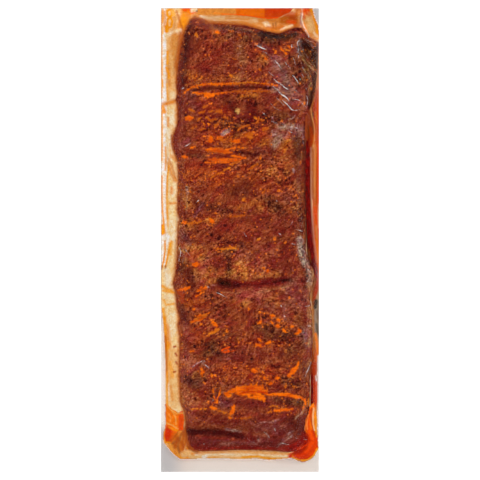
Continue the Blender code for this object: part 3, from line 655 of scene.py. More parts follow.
    ("peach", 1.0, 1.8, 1.4, ((202, 17.4), (214, 19.6), (234, 19), (256, 21))),
    ("pale", 0.9, 1.2, 1, ((201, 16.6), (206, 18.6), (214, 20))),
    ("pale", 0.7, 0.8, 0.8, ((216, 17.4), (224, 17))),
    ("pale", 0.8, 0.8, 0.8, ((228, 19), (236, 20))),
    ("orange_tan", 0.8, 0.7, 0.8, ((226, 18.6), (240, 19), (252, 20))),
    ("apricot", 0.35, 3, 2.4, ((212, 20), (238, 21), (262, 22), (280, 24))),
    ("brown", 0.8, 1.3, 1.2, ((206, 22.6), (228, 24), (250, 26), (264, 31))),
    ("orange_tan", 0.9, 3.2, 2, ((266, 19), (279, 20))),
    ("pale", 0.8, 2.2, 1.6, ((266, 24), (269, 27))),
    ("brown", 0.7, 0.5, 0.6, ((273, 24), (273.4, 30))),
    ("brown", 0.7, 0.5, 0.6, ((275.6, 23), (276, 31))),
    ("bronze", 0.9, 4.4, 2, ((284, 20), (292, 21), (297, 24))), ("paprika", 0.8, 4, 2, ((286, 12), (296, 17))),
    ("bronze", 0.8, 2.4, 1.6, ((268, 28.6), (275, 30), (282, 27))),
    ("flame", 0.8, 1.6, 1.4, ((288, 22), (294, 22.6))),
    # A painted highlight at the ridge's right end
    ("pale", 0.8, 0.7, 0.7, ((281, 30.4), (286, 28), (292, 26))),
    ("bronze", 0.9, 3.4, 1.8, ((297.6, 8), (298.6, 18))), ("tan", 0.7, 0.8, 1, ((299, 12), (298.6, 22))),
    ("tan", 1.0, 6, 2, ((306, 16), (310, 26), (314, 34))),
    ("butter", 0.8, 3.6, 2.4, ((308.6, 17), (311.6, 29))),
    ("flame", 0.95, 2.4, 1.4, ((303.4, 9.4), (310, 9.6))),
    ("ember", 0.7, 1.2, 1.4, ((303, 12), (304, 18))),
    ("marigold", 0.95, 1.4, 0.9, ((311.2, 9), (314.4, 18), (316.8, 26), (317.8, 38))),
    ("orange", 0.9, 1.0, 0.9, ((303, 24), (306, 32), (309, 37))),
    ("pink", 0.95, 0.7, 0.6, ((302.4, 8), (301, 17), (300.8, 24), (304, 30.6), (308.6, 38))),
    ("pale", 0.7, 0.7, 0.7, ((314, 33), (317, 37))),
    ("crust", 1.0, 6.4, 1.2, ((308, 104), (308.4, 128), (308.6, 146))),
    ("paprika", 1.0, 4, 0.8, ((318, 94), (317, 112), (318, 132), (318.6, 152))),
    ("orange_rust", 1.0, 4.6, 1, ((317, 138), (316.6, 180), (317.4, 250), (319, 276))),
    ("dark_red", 1.0, 3.2, 0.9, ((307.6, 150), (307, 180), (307.6, 212), (309.6, 246), (313, 272),
                                 (316, 292))),
    ("film_tan", 1.0, 4.4, 1, ((317.6, 292), (316.4, 312), (316, 336), (316, 350))),
    ("tan_brown", 0.6, 2.0, 1.4, ((314, 298), (314, 318), (314.4, 336))),
    ("brown", 1.0, 2.6, 1, ((311, 292), (312.6, 330), (312.6, 356), (311, 372))),
    ("white", 1.0, 1.6, 0.7, ((319, 352), (318.8, 380), (318.6, 430))),
    ("ember", 1.0, 2.4, 0.8, ((314, 350), (314, 372), (314.6, 402))),
    ("orange_rust", 1.0, 6, 1.2, ((311, 412), (310, 430))),
    ("ember", 1.0, 4, 1.6, ((292, 456), (299, 451), (306, 444), (309, 434))),
    ("toast", 1.0, 0.8, 0.7, ((318.4, 66), (318, 78), (315.6, 92), (312, 103), (309.6, 110))),
    ("soot", 0.8, 1.4, 1.2, ((314, 92), (311, 101), (308.6, 109))),
    ("soot", 0.5, 0.4, 0.8, ((310.4, 116), (311, 126), (311, 134))),
    ("crust", 0.9, 1.0, 1.0, ((306, 124), (307, 136), (307.4, 152))),
    ("paprika", 0.8, 0.8, 1.2, ((310.4, 128), (311.4, 138), (310, 150))),
    ("dark_brown", 0.7, 0.4, 0.9, ((308.4, 112), (308, 124), (308.8, 140))),
    ("flame", 0.7, 0.9, 1.0, ((317.6, 104), (318, 128))),
    ("orange_tan", 0.5, 0.5, 0.8, ((315.4, 112), (316.4, 122), (317, 136))),
    ("soot", 0.8, 0.6, 0.6, ((312.6, 113), (312.8, 117))),
    ("tan", 1.0, 0.15, 0.6, ((310.6, 109), (311.6, 116), (313.6, 124), (314.8, 131), (314.4, 139),
                             (313, 148), (311.6, 158))),
    ("tan", 0.7, 1.4, 1.2, ((314, 146), (313.6, 168), (313.8, 196))),
    ("orange_tan", 0.6, 0.7, 0.9, ((315.6, 150), (315, 176), (315.8, 204))),
    ("paprika", 0.7, 0.6, 0.8, ((317.4, 150), (316.6, 186), (316, 204))),
    ("flame", 0.8, 1.0, 1.0, ((318.4, 132), (318.4, 170), (318.6, 236))),
    ("flame", 0.8, 1.2, 1.2, ((315, 208), (316, 218), (318, 228))),
    ("tan", 0.6, 0.6, 0.8, ((316.4, 226), (317.4, 238))),
    ("dark_red", 1.0, 2.6, 1.0, ((306.6, 148), (307, 175), (307.4, 210), (308.6, 240), (309.6, 262))),
    ("soot", 0.6, 0.9, 1.0, ((305, 140), (305.4, 200), (306.4, 240))),
    ("copper", 0.8, 1.2, 1.0, ((312.4, 150), (312, 170), (312.4, 198))),
    ("pink", 0.9, 0.3, 0.7, ((310.8, 148), (310, 165), (310.2, 188), (311.6, 210), (313, 228),
                             (314.4, 244), (317, 262))),
    ("blood", 1.0, 0.9, 0.8, ((309, 158), (309.2, 200), (310.6, 220), (312, 240), (314, 258),
                              (317, 272))),
    ("orange", 0.7, 0.8, 0.8, ((317, 240), (318.6, 262))),
    ("dark_red", 0.9, 2.0, 1.4, ((309, 246), (311, 256), (314, 268))),
    ("paprika", 1.0, 1.6, 0.8, ((318.4, 276), (317, 288), (313.6, 299))),
    ("blood", 0.8, 0.8, 0.8, ((314.6, 284), (312.4, 294))),
    ("tan_brown", 0.8, 1.0, 1.0, ((314.6, 270), (314.6, 282), (311.6, 290), (311, 304))),
    ("film_grey", 1.0, 2.6, 1.2, ((317, 302), (316.6, 318), (317.2, 336))),
    ("soot", 1.0, 1.6, 1.0, ((315.8, 301), (315, 307))),
    ("soot", 0.8, 0.9, 0.8, ((316.4, 324), (317.8, 334))),
    ("dark_brown", 0.6, 0.6, 0.8, ((317, 311), (318, 318))),
    ("tan", 0.5, 1.0, 1.2, ((311.6, 306), (312.4, 324), (313, 338))),
    ("orange", 1.0, 1.1, 0.9, ((315.4, 334), (317, 345), (318, 354))),
    ("brown", 0.8, 1.2, 1.2, ((312.6, 338), (314, 350), (313.6, 360))),
    ("orange_rust", 0.9, 1.4, 1.0, ((315.6, 354), (315.6, 372))),
    ("pink", 0.6, 0.6, 0.6, ((317, 376), (318.2, 384))),
    ("crust", 0.9, 1.6, 1.2, ((312, 352), (312.4, 362), (312.4, 374))),
    ("paprika", 1.0, 2.4, 1.0, ((314, 364), (313.6, 380), (313.8, 392), (313, 406))),
    ("blood", 0.9, 0.9, 1.0, ((311.4, 374), (311.4, 392), (311, 404))),
    # A thin painted highlight on a fold of the film
    ("white", 0.9, 0.3, 0.6, ((315.6, 376), (316.8, 382))),
    ("flame", 0.8, 0.8, 0.8, ((316.6, 382), (316.4, 396), (315.6, 408))),
    ("orange", 0.9, 1.4, 0.9, ((315, 408), (314.8, 420), (315, 432))),
    ("light_orange", 0.8, 0.6, 0.6, ((315.4, 410), (314, 420), (315, 430))),
    ("bark", 0.75, 1.0, 2.4, ((232, 26.4), (248, 28), (262, 32.6), (274, 34.6), (286, 32.6), (296, 28.6))),
    ("crust", 0.9, 1.2, 2.0, ((186.2, 431), (187.2, 439), (190, 446.6), (197, 451.4))),
    ("bark", 0.75, 1.4, 1.6, ((185.4, 430), (186.2, 438), (189, 445.6))),
    ("butter", 0.7, 0.5, 1.2, ((202, 453), (220, 452.4), (245, 451.6), (270, 452.4), (286, 453.6))),
    # Cream lines on the top ridge are painted highlights
    ("cream", 0.6, 0.4, 0.8, ((211, 16.8), (218, 18), (223, 18.4))),
    ("apricot", 0.6, 0.8, 1.2, ((205, 19.4), (213, 21))),
    ("apricot", 0.6, 0.8, 1.2, ((240, 22), (248, 25), (256, 27))),
    ("apricot", 0.6, 1.0, 1.4, ((268, 29.6), (276, 32), (283, 31))),
    ("bronze", 0.5, 0.6, 1.0, ((268, 20), (280, 22), (290, 24.6))),
    ("cream", 0.7, 0.4, 0.8, ((263, 23), (265.6, 26))),
    ("cream", 0.5, 0.4, 0.8, ((250, 20), (257, 21.6))),
    # A thin painted highlight on the fold at the top right
    ("ivory", 0.8, 0.1, 0.5, ((301.8, 8.6), (302.6, 14), (301.4, 20), (303.8, 27), (307, 32.6), (309.8, 38))),
    ("copper", 0.75, 1.6, 2.2, ((184.4, 428), (183.6, 434), (187, 444))),
    ("copper", 0.6, 2.4, 2.4, ((177, 428), (176, 436))),
    ("pale", 0.5, 1.0, 1.2, ((204, 455.4), (240, 456))),
    ("orange_rust", 0.6, 2.0, 1.8, ((302.6, 10.4), (309.4, 15))),
    ("ember", 0.7, 0.5, 0.8, ((305, 9), (306.6, 14))),
    ("bronze", 0.9, 0.6, 0.8, ((319, 43), (318.8, 64), (318.4, 84))),
    ("blood", 0.8, 0.9, 1.8, ((308.4, 140), (308.6, 152))),
    ("brown", 0.4, 1.0, 2.4, ((178.6, 44), (176.4, 56), (174.8, 66), (174, 74))),
    ("rust", 0.5, 2, 2, ((317, 90), (317.6, 100))),
    ("rose", 0.5, 1.6, 2, ((308.4, 110), (308.6, 124))),
    ("paprika", 0.45, 1.6, 1.4, ((316.8, 126), (317.4, 142))),
    ("brown", 0.5, 0.8, 1.4, ((309, 250), (310, 261))),
    ("dark_red", 0.5, 0.3, 0.8, ((315.4, 270), (316, 280))),
    ("wheat", 0.6, 0.3, 0.8, ((310.8, 290), (310.6, 304))),
    ("crust", 0.6, 0.8, 1.2, ((313, 290), (313, 304))),
    ("toast", 0.6, 0.8, 1.0, ((313.4, 336), (314, 352))),
    ("dark_red", 0.4, 0.7, 1.2, ((311.6, 360), (311.2, 380))),
    ("blood", 0.6, 0.3, 0.8, ((311, 384), (311, 400))),
    ("ember", 0.5, 0.9, 1.0, ((313.6, 384), (313.8, 400))),
    ("ember", 0.45, 1.6, 1.6, ((308.4, 410), (309.4, 426))),
    ("pale", 0.8, 0.5, 0.8, ((319.2, 204), (318.6, 216), (319.2, 228))),
    ("sable", 0.7, 0.2, 0.7, ((308, 256), (309.4, 261), (309, 265))),
    ("sable", 0.7, 0.3, 0.7, ((311, 268.6), (313, 272))),
    # Thin ivory lines here are painted highlights on the film's folds
    ("ivory", 0.7, 0.1, 0.6, ((308.4, 264), (310.6, 269.6), (313.4, 275))),
    ("sable", 0.6, 0.2, 0.7, ((309.6, 284), (312, 287))),
    ("ivory", 0.6, 0.1, 0.6, ((309, 298), (311, 303.6), (310.6, 309))),
    ("orange_rust", 0.9, 0.9, 0.8, ((319, 84), (318.4, 96), (318.8, 112))),
)

# Outlines of the pools of rendered fat, and their tones

POOL_OUTLINES = (
    ((165.4, 404), (168, 404.6), (172, 409), (178, 412), (183, 411), (184.6, 420), (183, 430),
     (178, 431), (175, 437), (171, 443), (165, 443), (162.6, 438), (163.6, 431), (166, 424),
     (165, 414)),
    ((309, 407), (314, 402), (317.4, 420), (317.6, 438), (318.4, 448), (314.4, 456.4),
     (308, 461), (302, 462), (296, 460), (291, 457.6), (291, 454), (295, 450.4), (301, 448.4),
     (307, 445), (309.4, 440.6), (308.6, 436), (306, 431), (305.2, 425), (307.2, 416)),
)
POOL_TONES = (
    ("bright", 1.0, 30, 2, ((174, 420), (310, 430))),
    ("flame", 0.9, 2.4, 1.6, ((181.6, 412), (181.6, 430))),
    ("ember", 0.6, 1.0, 1.6, ((180, 416), (180, 430))),
    ("ember", 1.0, 5, 3, ((168, 431), (166.6, 439))),
    ("copper", 0.8, 1.6, 2.4, ((170, 442), (176, 434))),
    ("light_orange", 0.8, 0.3, 0.6, ((166.4, 423), (172, 425), (178, 428.6))),
    ("light_orange", 0.7, 0.2, 0.6, ((172, 410), (175.6, 417), (176, 424))),
    ("light_orange", 0.7, 0.3, 0.6, ((167, 404.6), (171, 410), (177, 413.4), (183, 412.6))),
    ("light_orange", 0.5, 0.2, 0.6, ((168.6, 414), (171, 418), (170, 422))),
    ("marigold", 0.9, 0.7, 0.7, ((164.4, 428), (163.2, 436), (165, 442.4), (170, 442.6))),
    ("marigold", 0.7, 0.6, 0.7, ((169, 427), (175, 430), (178, 430.6))),
    ("ember", 1.0, 9, 2.4, ((314, 438), (312, 448), (302, 455))),
    ("flame", 0.4, 2.0, 2.4, ((316, 436), (315.6, 446), (311, 455))),
    ("flame", 0.8, 2.0, 2, ((306, 450), (309, 447), (312, 443))),
    ("blood", 0.8, 2.4, 2.4, ((292, 452), (299, 450.4), (305, 447))),
    ("ember", 0.9, 1.6, 1.6, ((297, 455), (301, 457.6))),
    ("flame", 1.0, 1.8, 1.2, ((309.4, 410), (307.4, 420), (308.4, 430), (312.4, 438))),
    ("paprika", 0.9, 0.6, 0.8, ((311.6, 408), (310.8, 416), (312, 425), (315.2, 433))),
    ("orange", 0.9, 0.8, 0.8, ((313.4, 412), (313.6, 424), (316, 432))),
    ("peach", 0.9, 0.3, 0.6, ((313.6, 408), (312.8, 416), (313.2, 424), (314.6, 430))),
    ("peach", 0.6, 0.2, 0.6, ((316.6, 408), (316.8, 420), (317.2, 428))),
    ("light_orange", 0.5, 0.2, 0.6, ((308.4, 414), (306.8, 422), (307.4, 429))),
    ("marigold", 1.0, 0.8, 0.7, ((292, 457.6), (300, 460.6), (308, 460), (314, 455.6),
                                 (317.4, 449))),
    ("marigold", 0.9, 0.7, 0.8, ((316.2, 410), (316.4, 424), (316.8, 436))),
)

# The flat orange layer between the films along the top edge

SLAB_OUTLINE = (
    (197.4, 6), (197.8, 14.6), (216, 15), (236, 15), (250, 16.6), (264, 18.8), (277, 18.6),
    (284, 15), (289, 12.6), (294, 8), (294.6, 6),
)
SLAB_BANDS = (("slab_tan", 198.0), ("slab_orange", 236.0), ("slab_red", 264.5))
SLAB_TONES = (
    ("flame", 0.8, 0.3, 0.8, ((222, 14.2), (240, 14.6), (256, 17), (268, 18.6), (279, 17.6))),
    ("orange", 0.6, 0.3, 0.8, ((214, 13), (228, 14))),
    ("ember", 0.5, 1.6, 2, ((270, 11), (282, 10), (290, 9.6))),
)

# Dark juice between the rack and the bag: half width and line

JUICE = (
    (1.2, ((307, 142), (307, 156))),
    (2.2, ((307, 160), (307.2, 175), (307.6, 200), (308.4, 230), (311, 250))),
    (1.8, ((311, 250), (314.4, 266), (316, 276))),
    (1.2, ((311.6, 376), (311.8, 388), (311.6, 402))),
)

# Painted sheen of the film, mostly halos round its glints: strength, half width, softness and line

FILM_SHEEN_HAZE = (
    (0.03, 3, 3, ((256, 46), (264, 50))), (0.04, 3, 4, ((274, 60), (286, 84), (292, 104))),
    (0.06, 3, 3, ((297, 42), (298, 56))), (0.05, 3, 4, ((284, 126), (300, 130))),
    (0.3, 0.8, 0.8, ((318.2, 360), (318.6, 400), (318.4, 430))),
    (0.05, 1.6, 2.4, ((301, 240), (304, 262))), (0.04, 2, 3, ((306, 262), (309, 284))),
)

# Sharp creases of the film that catch the light, their white mostly a painted highlight: half width and line

FAINT_CREASE = 0.37    # creases up to this half width are faint
CREASES = (
    (1.0, ((254.4, 45.2), (258.5, 47.6), (262.3, 49.4), (266.5, 51))),
    (1.2, ((291.4, 45.6), (291.6, 49))),
    (0.6, ((299.6, 41.6), (297.4, 43), (297, 45.6), (298.3, 49), (297.6, 54))),
    (0.5, ((298, 56.4), (298.2, 59))),
    (1.1, ((274.6, 61), (277.3, 64.6), (279.6, 68), (282, 70.8))),
    (0.4, ((287.7, 67), (290.8, 70))),
    (1.1, ((273.6, 80), (277, 83), (280.8, 85.8), (284.6, 88.5), (287.7, 90.4))),
    (1.25, ((273, 87), (275.4, 89.6), (279.2, 93), (283, 96.3), (286, 98.6), (289, 101.8))),
    (1.1, ((282, 100.8), (284.6, 103.5), (288.5, 107), (291, 110), (294.4, 111.4))),
    (0.4, ((294.2, 111.4), (299.4, 110.4))),
    (0.8, ((292, 76.2), (294.6, 78.8), (297, 82.7), (298, 85.4))),
    (1.1, ((299.4, 78.6), (299.8, 81.4))),
    (0.4, ((291.5, 99.6), (299.2, 101.5), (303, 105.8), (306.5, 107.7))),
    (0.4, ((306.5, 96), (307, 101.5), (306.5, 107))),
    (0.6, ((304.6, 30.8), (307.3, 35), (308.8, 38.8))),
    (0.6, ((294.6, 128), (299.4, 129.4))),
    (0.4, ((287, 131), (292, 133.6))),
    (0.5, ((271, 121.6), (275, 124))),
    (0.4, ((262, 113), (266, 116.6))),
    (0.6, ((185, 147.2), (188, 145.6), (191.4, 143.6))),
    (0.5, ((216, 292), (221, 294), (227, 297.4))),
    (0.5, ((196.6, 202.6), (199.6, 200))),
    (0.5, ((275.8, 200.6), (277.6, 202))),
    (0.5, ((296, 229.6), (302.6, 231.4))),
    (0.5, ((243.6, 232), (246.4, 237))),
    (0.5, ((278, 233), (281, 235.4))),
    (0.6, ((290.6, 243.6), (295.6, 244.6))),
    (0.45, ((301, 238), (304.6, 240.8))),
    (0.7, ((280.2, 304.8), (281.6, 306.2))), (0.7, ((283.4, 315.2), (284.8, 316.4))),
    (0.6, ((304.6, 375.6), (307, 370.6), (308.8, 367), (311, 361))),
    (0.8, ((302, 331.4), (304, 332.4))),
    (0.5, ((305, 306.4), (310.4, 305))),
    (0.5, ((307, 325.4), (311, 325.8))),
    (0.38, ((274, 427), (275.4, 430))),
    (0.38, ((257.6, 437.6), (258.6, 440.6))),
    (0.38, ((279, 441), (284, 442.6), (289, 444))),
    (0.38, ((289, 434.4), (291.4, 436.2))),
    (0.5, ((303.6, 438.6), (306.6, 439.4))),
    (0.5, ((294.6, 436.6), (297, 437.6))),
    (0.5, ((203.6, 442.4), (204.6, 443.4))),
    (0.5, ((181.6, 89.6), (185, 88.4))), (0.38, ((178.8, 247), (181, 252), (180, 258))),
    (0.38, ((184, 246.4), (187, 251), (190.6, 256))), (0.4, ((180.6, 255), (179, 261.6))),
    (0.45, ((193.6, 366), (196, 363.6), (197.6, 362.8))), (0.45, ((200, 361.4), (203, 360), (206, 360.8))),
    (0.4, ((204, 363), (207, 365.4), (209, 366.6))),
    (0.4, ((305, 268), (309, 270))),
    (0.4, ((306, 283), (308.4, 279))),
    (0.3, ((262, 52), (267, 55), (271, 60))), (0.3, ((268, 56), (273, 62), (276, 68))),
    (0.35, ((282, 60), (286, 65), (289, 71))), (0.3, ((284, 74), (288, 79), (293, 82))),
    (0.35, ((268, 72), (272, 76), (277, 79))), (0.3, ((289, 84), (293, 90), (297, 93))),
    (0.35, ((276, 98), (280, 102), (285, 108))), (0.3, ((286, 113), (291, 117), (297, 118))),
    (0.35, ((291, 56), (294, 62), (295, 69))), (0.3, ((300, 60), (302, 68), (306, 75))),
    (0.3, ((294, 90), (300, 95), (303, 99))), (0.35, ((270, 104), (275, 109), (281, 112))),
    (0.3, ((303, 84), (306, 90), (307, 95))), (0.3, ((299, 68), (301, 74), (304, 80))),
    (0.35, ((285, 137), (291, 139), (297, 142))), (0.3, ((298, 133), (302, 138), (303, 144))),
    (0.3, ((300, 214), (302, 222), (301, 228))), (0.35, ((304, 244), (306, 252), (309, 258))),
    (0.3, ((298, 246), (300, 254), (303, 259))), (0.3, ((246, 436), (250, 440), (256, 442))),
    (0.3, ((262, 430), (267, 433), (270, 438))),
)


def srgb(red, green, blue):
    """A colour given as it shows on a screen, from 0 to 255, as the linear one that shaders use."""
    def linear(value):
        value /= 255.0
        return value / 12.92 if value <= 0.04045 else ((value + 0.055) / 1.055) ** 2.4
    return (linear(red), linear(green), linear(blue))


class SPARERIBS_PG_rack(bpy.types.PropertyGroup):
    """Sizes and colours of the rack of ribs"""

    pitch: FloatProperty(
        name="Mesh pitch", description="Size of one cell of the meat's surface",
        default=0.74 * MM, unit="LENGTH")
    gap: FloatProperty(
        name="Gap", description="How far the meat lies below the film",
        default=0.4 * MM, unit="LENGTH")
    crag: FloatProperty(
        name="Crags", description="Depth of the crust's crags and fibres",
        default=0.5 * MM, unit="LENGTH")
    grains: IntProperty(
        name="Pepper grains", description="How many coarse grains of the rub are laid on",
        default=1500, min=0)
    fleck: FloatVectorProperty(
        name="Flecks", description="Colour of the small flecks of fat", subtype="COLOR",
        default=srgb(230, 108, 20), min=0.0, max=1.0)


class SPARERIBS_PG_fat(bpy.types.PropertyGroup):
    """Sizes of the fat and the juice round the rack"""

    pitch: FloatProperty(
        name="Mesh pitch", description="Size of one cell of the fat's surface",
        default=0.56 * MM, unit="LENGTH")
    gap: FloatProperty(
        name="Gap", description="How far the set fat lies below the film",
        default=0.35 * MM, unit="LENGTH")
    rise: FloatProperty(
        name="Rise", description="How far a layer of rendered fat stands out",
        default=0.16 * MM, unit="LENGTH")


class SPARERIBS_PG_film(bpy.types.PropertyGroup):
    """Sizes and colours of the clear film"""

    pitch: FloatProperty(
        name="Mesh pitch", description="Size of one cell of the film",
        default=1.0 * MM, unit="LENGTH")
    cling: FloatProperty(
        name="Cling", description="How deep the film follows the lumps of the meat",
        default=0.5 * MM, unit="LENGTH")
    tint: FloatVectorProperty(
        name="Tint", description="Colour of what passes through the film", subtype="COLOR",
        default=srgb(252, 251, 250), min=0.0, max=1.0)
    # The milk colour also paints the film's sheen and the white of its creases.
    milk: FloatVectorProperty(
        name="Milkiness", description="Colour of the film's haze", subtype="COLOR",
        default=srgb(236, 230, 226), min=0.0, max=1.0)
    seam: FloatVectorProperty(
        name="Seam", description="Colour of the doubled film of the seam", subtype="COLOR",
        default=srgb(182, 165, 152), min=0.0, max=1.0)
    cool_seam: FloatVectorProperty(
        name="Cool seam", description="Colour of the seam where it is cloudiest", subtype="COLOR",
        default=srgb(150, 146, 148), min=0.0, max=1.0)


class SPARERIBS_PG_stage(bpy.types.PropertyGroup):
    """The floor, the lights and the camera"""

    camera_height: FloatProperty(
        name="Camera height", description="Height of the camera over the floor",
        default=3.6, unit="LENGTH")
    floor_glow: FloatProperty(
        name="Floor glow", description="Keeps the paper floor white in the bag's shade",
        default=0.5, min=0.0)
    key_power: FloatProperty(
        name="Key light", description="Power of the main light", default=18.0, unit="POWER")
    fill_power: FloatProperty(
        name="Fill light", description="Power of the soft light opposite", default=15.0,
        unit="POWER")
    low_power: FloatProperty(
        name="Low light", description="Power of the soft light from below in the picture",
        default=8.0, unit="POWER")
    surroundings: FloatProperty(
        name="Surroundings", description="Brightness of the surroundings", default=0.52, min=0.0)


def deselect_all():
    """Leaves edit mode and selects nothing."""
    if bpy.context.object is not None and bpy.context.object.mode != "OBJECT":
        bpy.ops.object.mode_set(mode="OBJECT")
    bpy.ops.object.select_all(action="DESELECT")


def pick(piece):
    """Selects one piece alone and makes it the active one."""
    deselect_all()
    piece.select_set(True)
    bpy.context.view_layer.objects.active = piece


def drop(piece):
    """Removes a helper and its mesh."""
    mesh = piece.data
    bpy.data.objects.remove(piece, do_unlink=True)
    bpy.data.meshes.remove(mesh)


def finish_piece(piece, material):
    """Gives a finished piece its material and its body."""
    piece.data.materials.clear()
    piece.data.materials.append(material)
    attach(piece, BODY)


def places(piece):
    """The piece's vertices as rows of x, y, z."""
    found = np.empty(len(piece.data.vertices) * 3, np.float32)
    piece.data.vertices.foreach_get("co", found)
    return found.reshape(-1, 3).astype(float)


def place(piece, points):
    """Moves the piece's vertices to the points."""
    piece.data.vertices.foreach_set("co", points.astype(np.float32).ravel())
    piece.data.update()


def paint(piece, name, values):
    """Stores one number a vertex, for the material to read."""
    layer = piece.data.attributes.new(name, "FLOAT", "POINT")
    layer.data.foreach_set("value", np.asarray(values, np.float32))


def paint_colour(piece, name, tones):
    """Stores one colour a vertex, for the material to read."""
    layer = piece.data.attributes.new(name, "FLOAT_COLOR", "POINT")
    rows = np.ones((len(tones), 4), np.float32)
    rows[:, :3] = np.clip(tones * FILM_LOSS - FILM_SHEEN, 0.001, 0.95)
    layer.data.foreach_set("color", rows.ravel())


def to_metres(line):
    """Points of the photograph as rows of x, y in metres."""
    points = np.array(line, float)
    return np.column_stack(
        ((points[:, 0] - PHOTO_MIDDLE) * PIXEL, (PHOTO_MIDDLE - points[:, 1]) * PIXEL))


def to_pixels(points):
    """The x and y of points in metres as those of the photograph."""
    return points[:, 0] / PIXEL + PHOTO_MIDDLE, PHOTO_MIDDLE - points[:, 1] / PIXEL


def distance_to_line(points, line):
    """Distance of each x, y from the line, and how far along the line that is, from 0 to 1."""
    nearest = np.full(len(points), np.inf)
    along = np.zeros(len(points))
    lengths = np.maximum(np.hypot(*(line[1:] - line[:-1]).T), 1e-9)
    gone = 0.0
    for start, end, length in zip(line, line[1:], lengths):
        run = end - start
        share = np.clip(((points - start) @ run) / length**2, 0.0, 1.0)
        away = np.hypot(*(points - start - share[:, None] * run).T)
        along = np.where(away < nearest, gone + share * length, along)
        nearest = np.minimum(nearest, away)
        gone += length
    return nearest, along / gone


def depth_inside(points, outline):
    """Distance of each x, y from a closed outline in photo pixels, more than 0 inside it."""
    line = to_metres(outline + outline[:1])
    away, _ = distance_to_line(points, line)
    inside = np.zeros(len(points), bool)
    for (x0, y0), (x1, y1) in zip(line, line[1:]):
        crosses = (y0 > points[:, 1]) != (y1 > points[:, 1])
        if crosses.any():
            at = x0 + (points[:, 1] - y0) / (y1 - y0 if y1 != y0 else 1.0) * (x1 - x0)
            inside ^= crosses & (points[:, 0] < at)
    return np.where(inside, away, -away)


def ease(low, high, values):
    """Rises smoothly from 0 at low to 1 at high."""
    share = np.clip((values - low) / (high - low), 0.0, 1.0)
    return share * share * (3.0 - 2.0 * share)


def rough_field(points, size, octaves=3, seed=0.0, stretch=(1.0, 1.0), turn=0.0):
    """Fractal noise over x, y, about from -1 to 1, with lumps of the given size."""
    angle = math.radians(turn)
    along = (points[:, 0] * math.cos(angle) + points[:, 1] * math.sin(angle)) / size / stretch[0]
    across = (points[:, 1] * math.cos(angle) - points[:, 0] * math.sin(angle)) / size / stretch[1]
    return np.array([
        noise.fractal((x, y, seed), 1.0, 2.0, octaves, noise_basis="PERLIN_ORIGINAL")
        for x, y in zip(along.tolist(), across.tolist())
    ])


def stroke_level(points, half_width, soft, line, grain=None, ragged=0.0, taper=0.0):
    """Which points lie near a stroke, and how strong it is there, 0.5 on its edge."""
    line = to_metres(line)
    reach = (half_width + 2.0 * soft + 2.0 * ragged) * PIXEL
    near = np.flatnonzero(np.all(
        (points[:, :2] > line.min(0) - reach) & (points[:, :2] < line.max(0) + reach), axis=1))
    away, along = distance_to_line(points[near, :2], line)
    away = away / PIXEL + half_width * taper * (2.0 * along - 1.0) ** 2
    if grain is not None:
        away = away + ragged * grain[near]
    return near, ease(soft, -soft, away - half_width)


def stroke_field(points, strokes, soft, grain=None, ragged=0.0):
    """The strongest of several strokes at each x, y."""
    field = np.zeros(len(points))
    for stroke in strokes:
        strength, half_width, line = stroke if len(stroke) == 3 else (1.0, *stroke)
        near, level = stroke_level(points, half_width, soft, line, grain, ragged)
        field[near] = np.maximum(field[near], strength * level)
    return field


def lay_tones(points, tones, strokes, fine, broken=0.0, spread=0.0):
    """Lays strokes of colour over the tones, one after another, broken up by the fine noise."""
    for colour, strength, half_width, soft, line in strokes:
        half_width += spread * ease(3.0, 1.0, half_width)
        near, level = stroke_level(points, half_width, soft, line, fine, 0.45 * soft)
        level = np.clip(level + broken * fine[near] * 4.0 * level * (1.0 - level), 0.0, 1.0)
        share = (strength * level)[:, None]
        tones[near] += (np.array(srgb(*PALETTE[colour])) - tones[near]) * share
    return tones


def bag_guides():
    """Smooth open copies of the bag's top and of its underside, to lay other pieces on."""
    for name, side in (("guide_top", 1.0), ("guide_under", -1.0)):
        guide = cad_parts[PACK_NODE].copy()
        guide.data = guide.data.copy()
        guide.name = name
        guide.parent = None
        bpy.context.scene.collection.objects.link(guide)
        pick(guide)
        bpy.ops.object.mode_set(mode="EDIT")
        bpy.ops.mesh.select_all(action="SELECT")
        bpy.ops.mesh.remove_doubles(threshold=0.01 * MM)
        shape = bmesh.from_edit_mesh(guide.data)
        for face in shape.faces:
            face.select = face.normal.z * side < 0.12
        bmesh.update_edit_mesh(guide.data)
        bpy.ops.mesh.delete(type="FACE")
        bpy.ops.mesh.select_all(action="SELECT")
        bpy.ops.mesh.tris_convert_to_quads(
            face_threshold=math.radians(70.0), shape_threshold=math.radians(70.0))
        bpy.ops.object.mode_set(mode="OBJECT")
        smooth = guide.modifiers.new("Smooth", "SUBSURF")
        smooth.levels = smooth.render_levels = 2
        smooth.boundary_smooth = "PRESERVE_CORNERS"
        bpy.ops.object.modifier_apply(modifier=smooth.name)


def sheet_over(name, low, high, pitch):
    """A flat grid between two corners, laid on the guide of the bag's top."""
    size = (high[0] - low[0], high[1] - low[1])
    deselect_all()
    bpy.ops.mesh.primitive_grid_add(
        x_subdivisions=round(size[0] / pitch), y_subdivisions=round(size[1] / pitch), size=1.0,
        location=((low[0] + high[0]) / 2, (low[1] + high[1]) / 2, 0.1))
    sheet = bpy.context.object
    sheet.name = sheet.data.name = name
    sheet.scale = (size[0], size[1], 1.0)
    bpy.ops.object.transform_apply(location=True, rotation=True, scale=True)
    lay = sheet.modifiers.new("Lay", "SHRINKWRAP")
    lay.target = bpy.data.objects["guide_top"]
    lay.wrap_method = "PROJECT"
    lay.use_project_z = True
    lay.use_positive_direction = False
    lay.use_negative_direction = True
    bpy.ops.object.modifier_apply(modifier=lay.name)
    return sheet


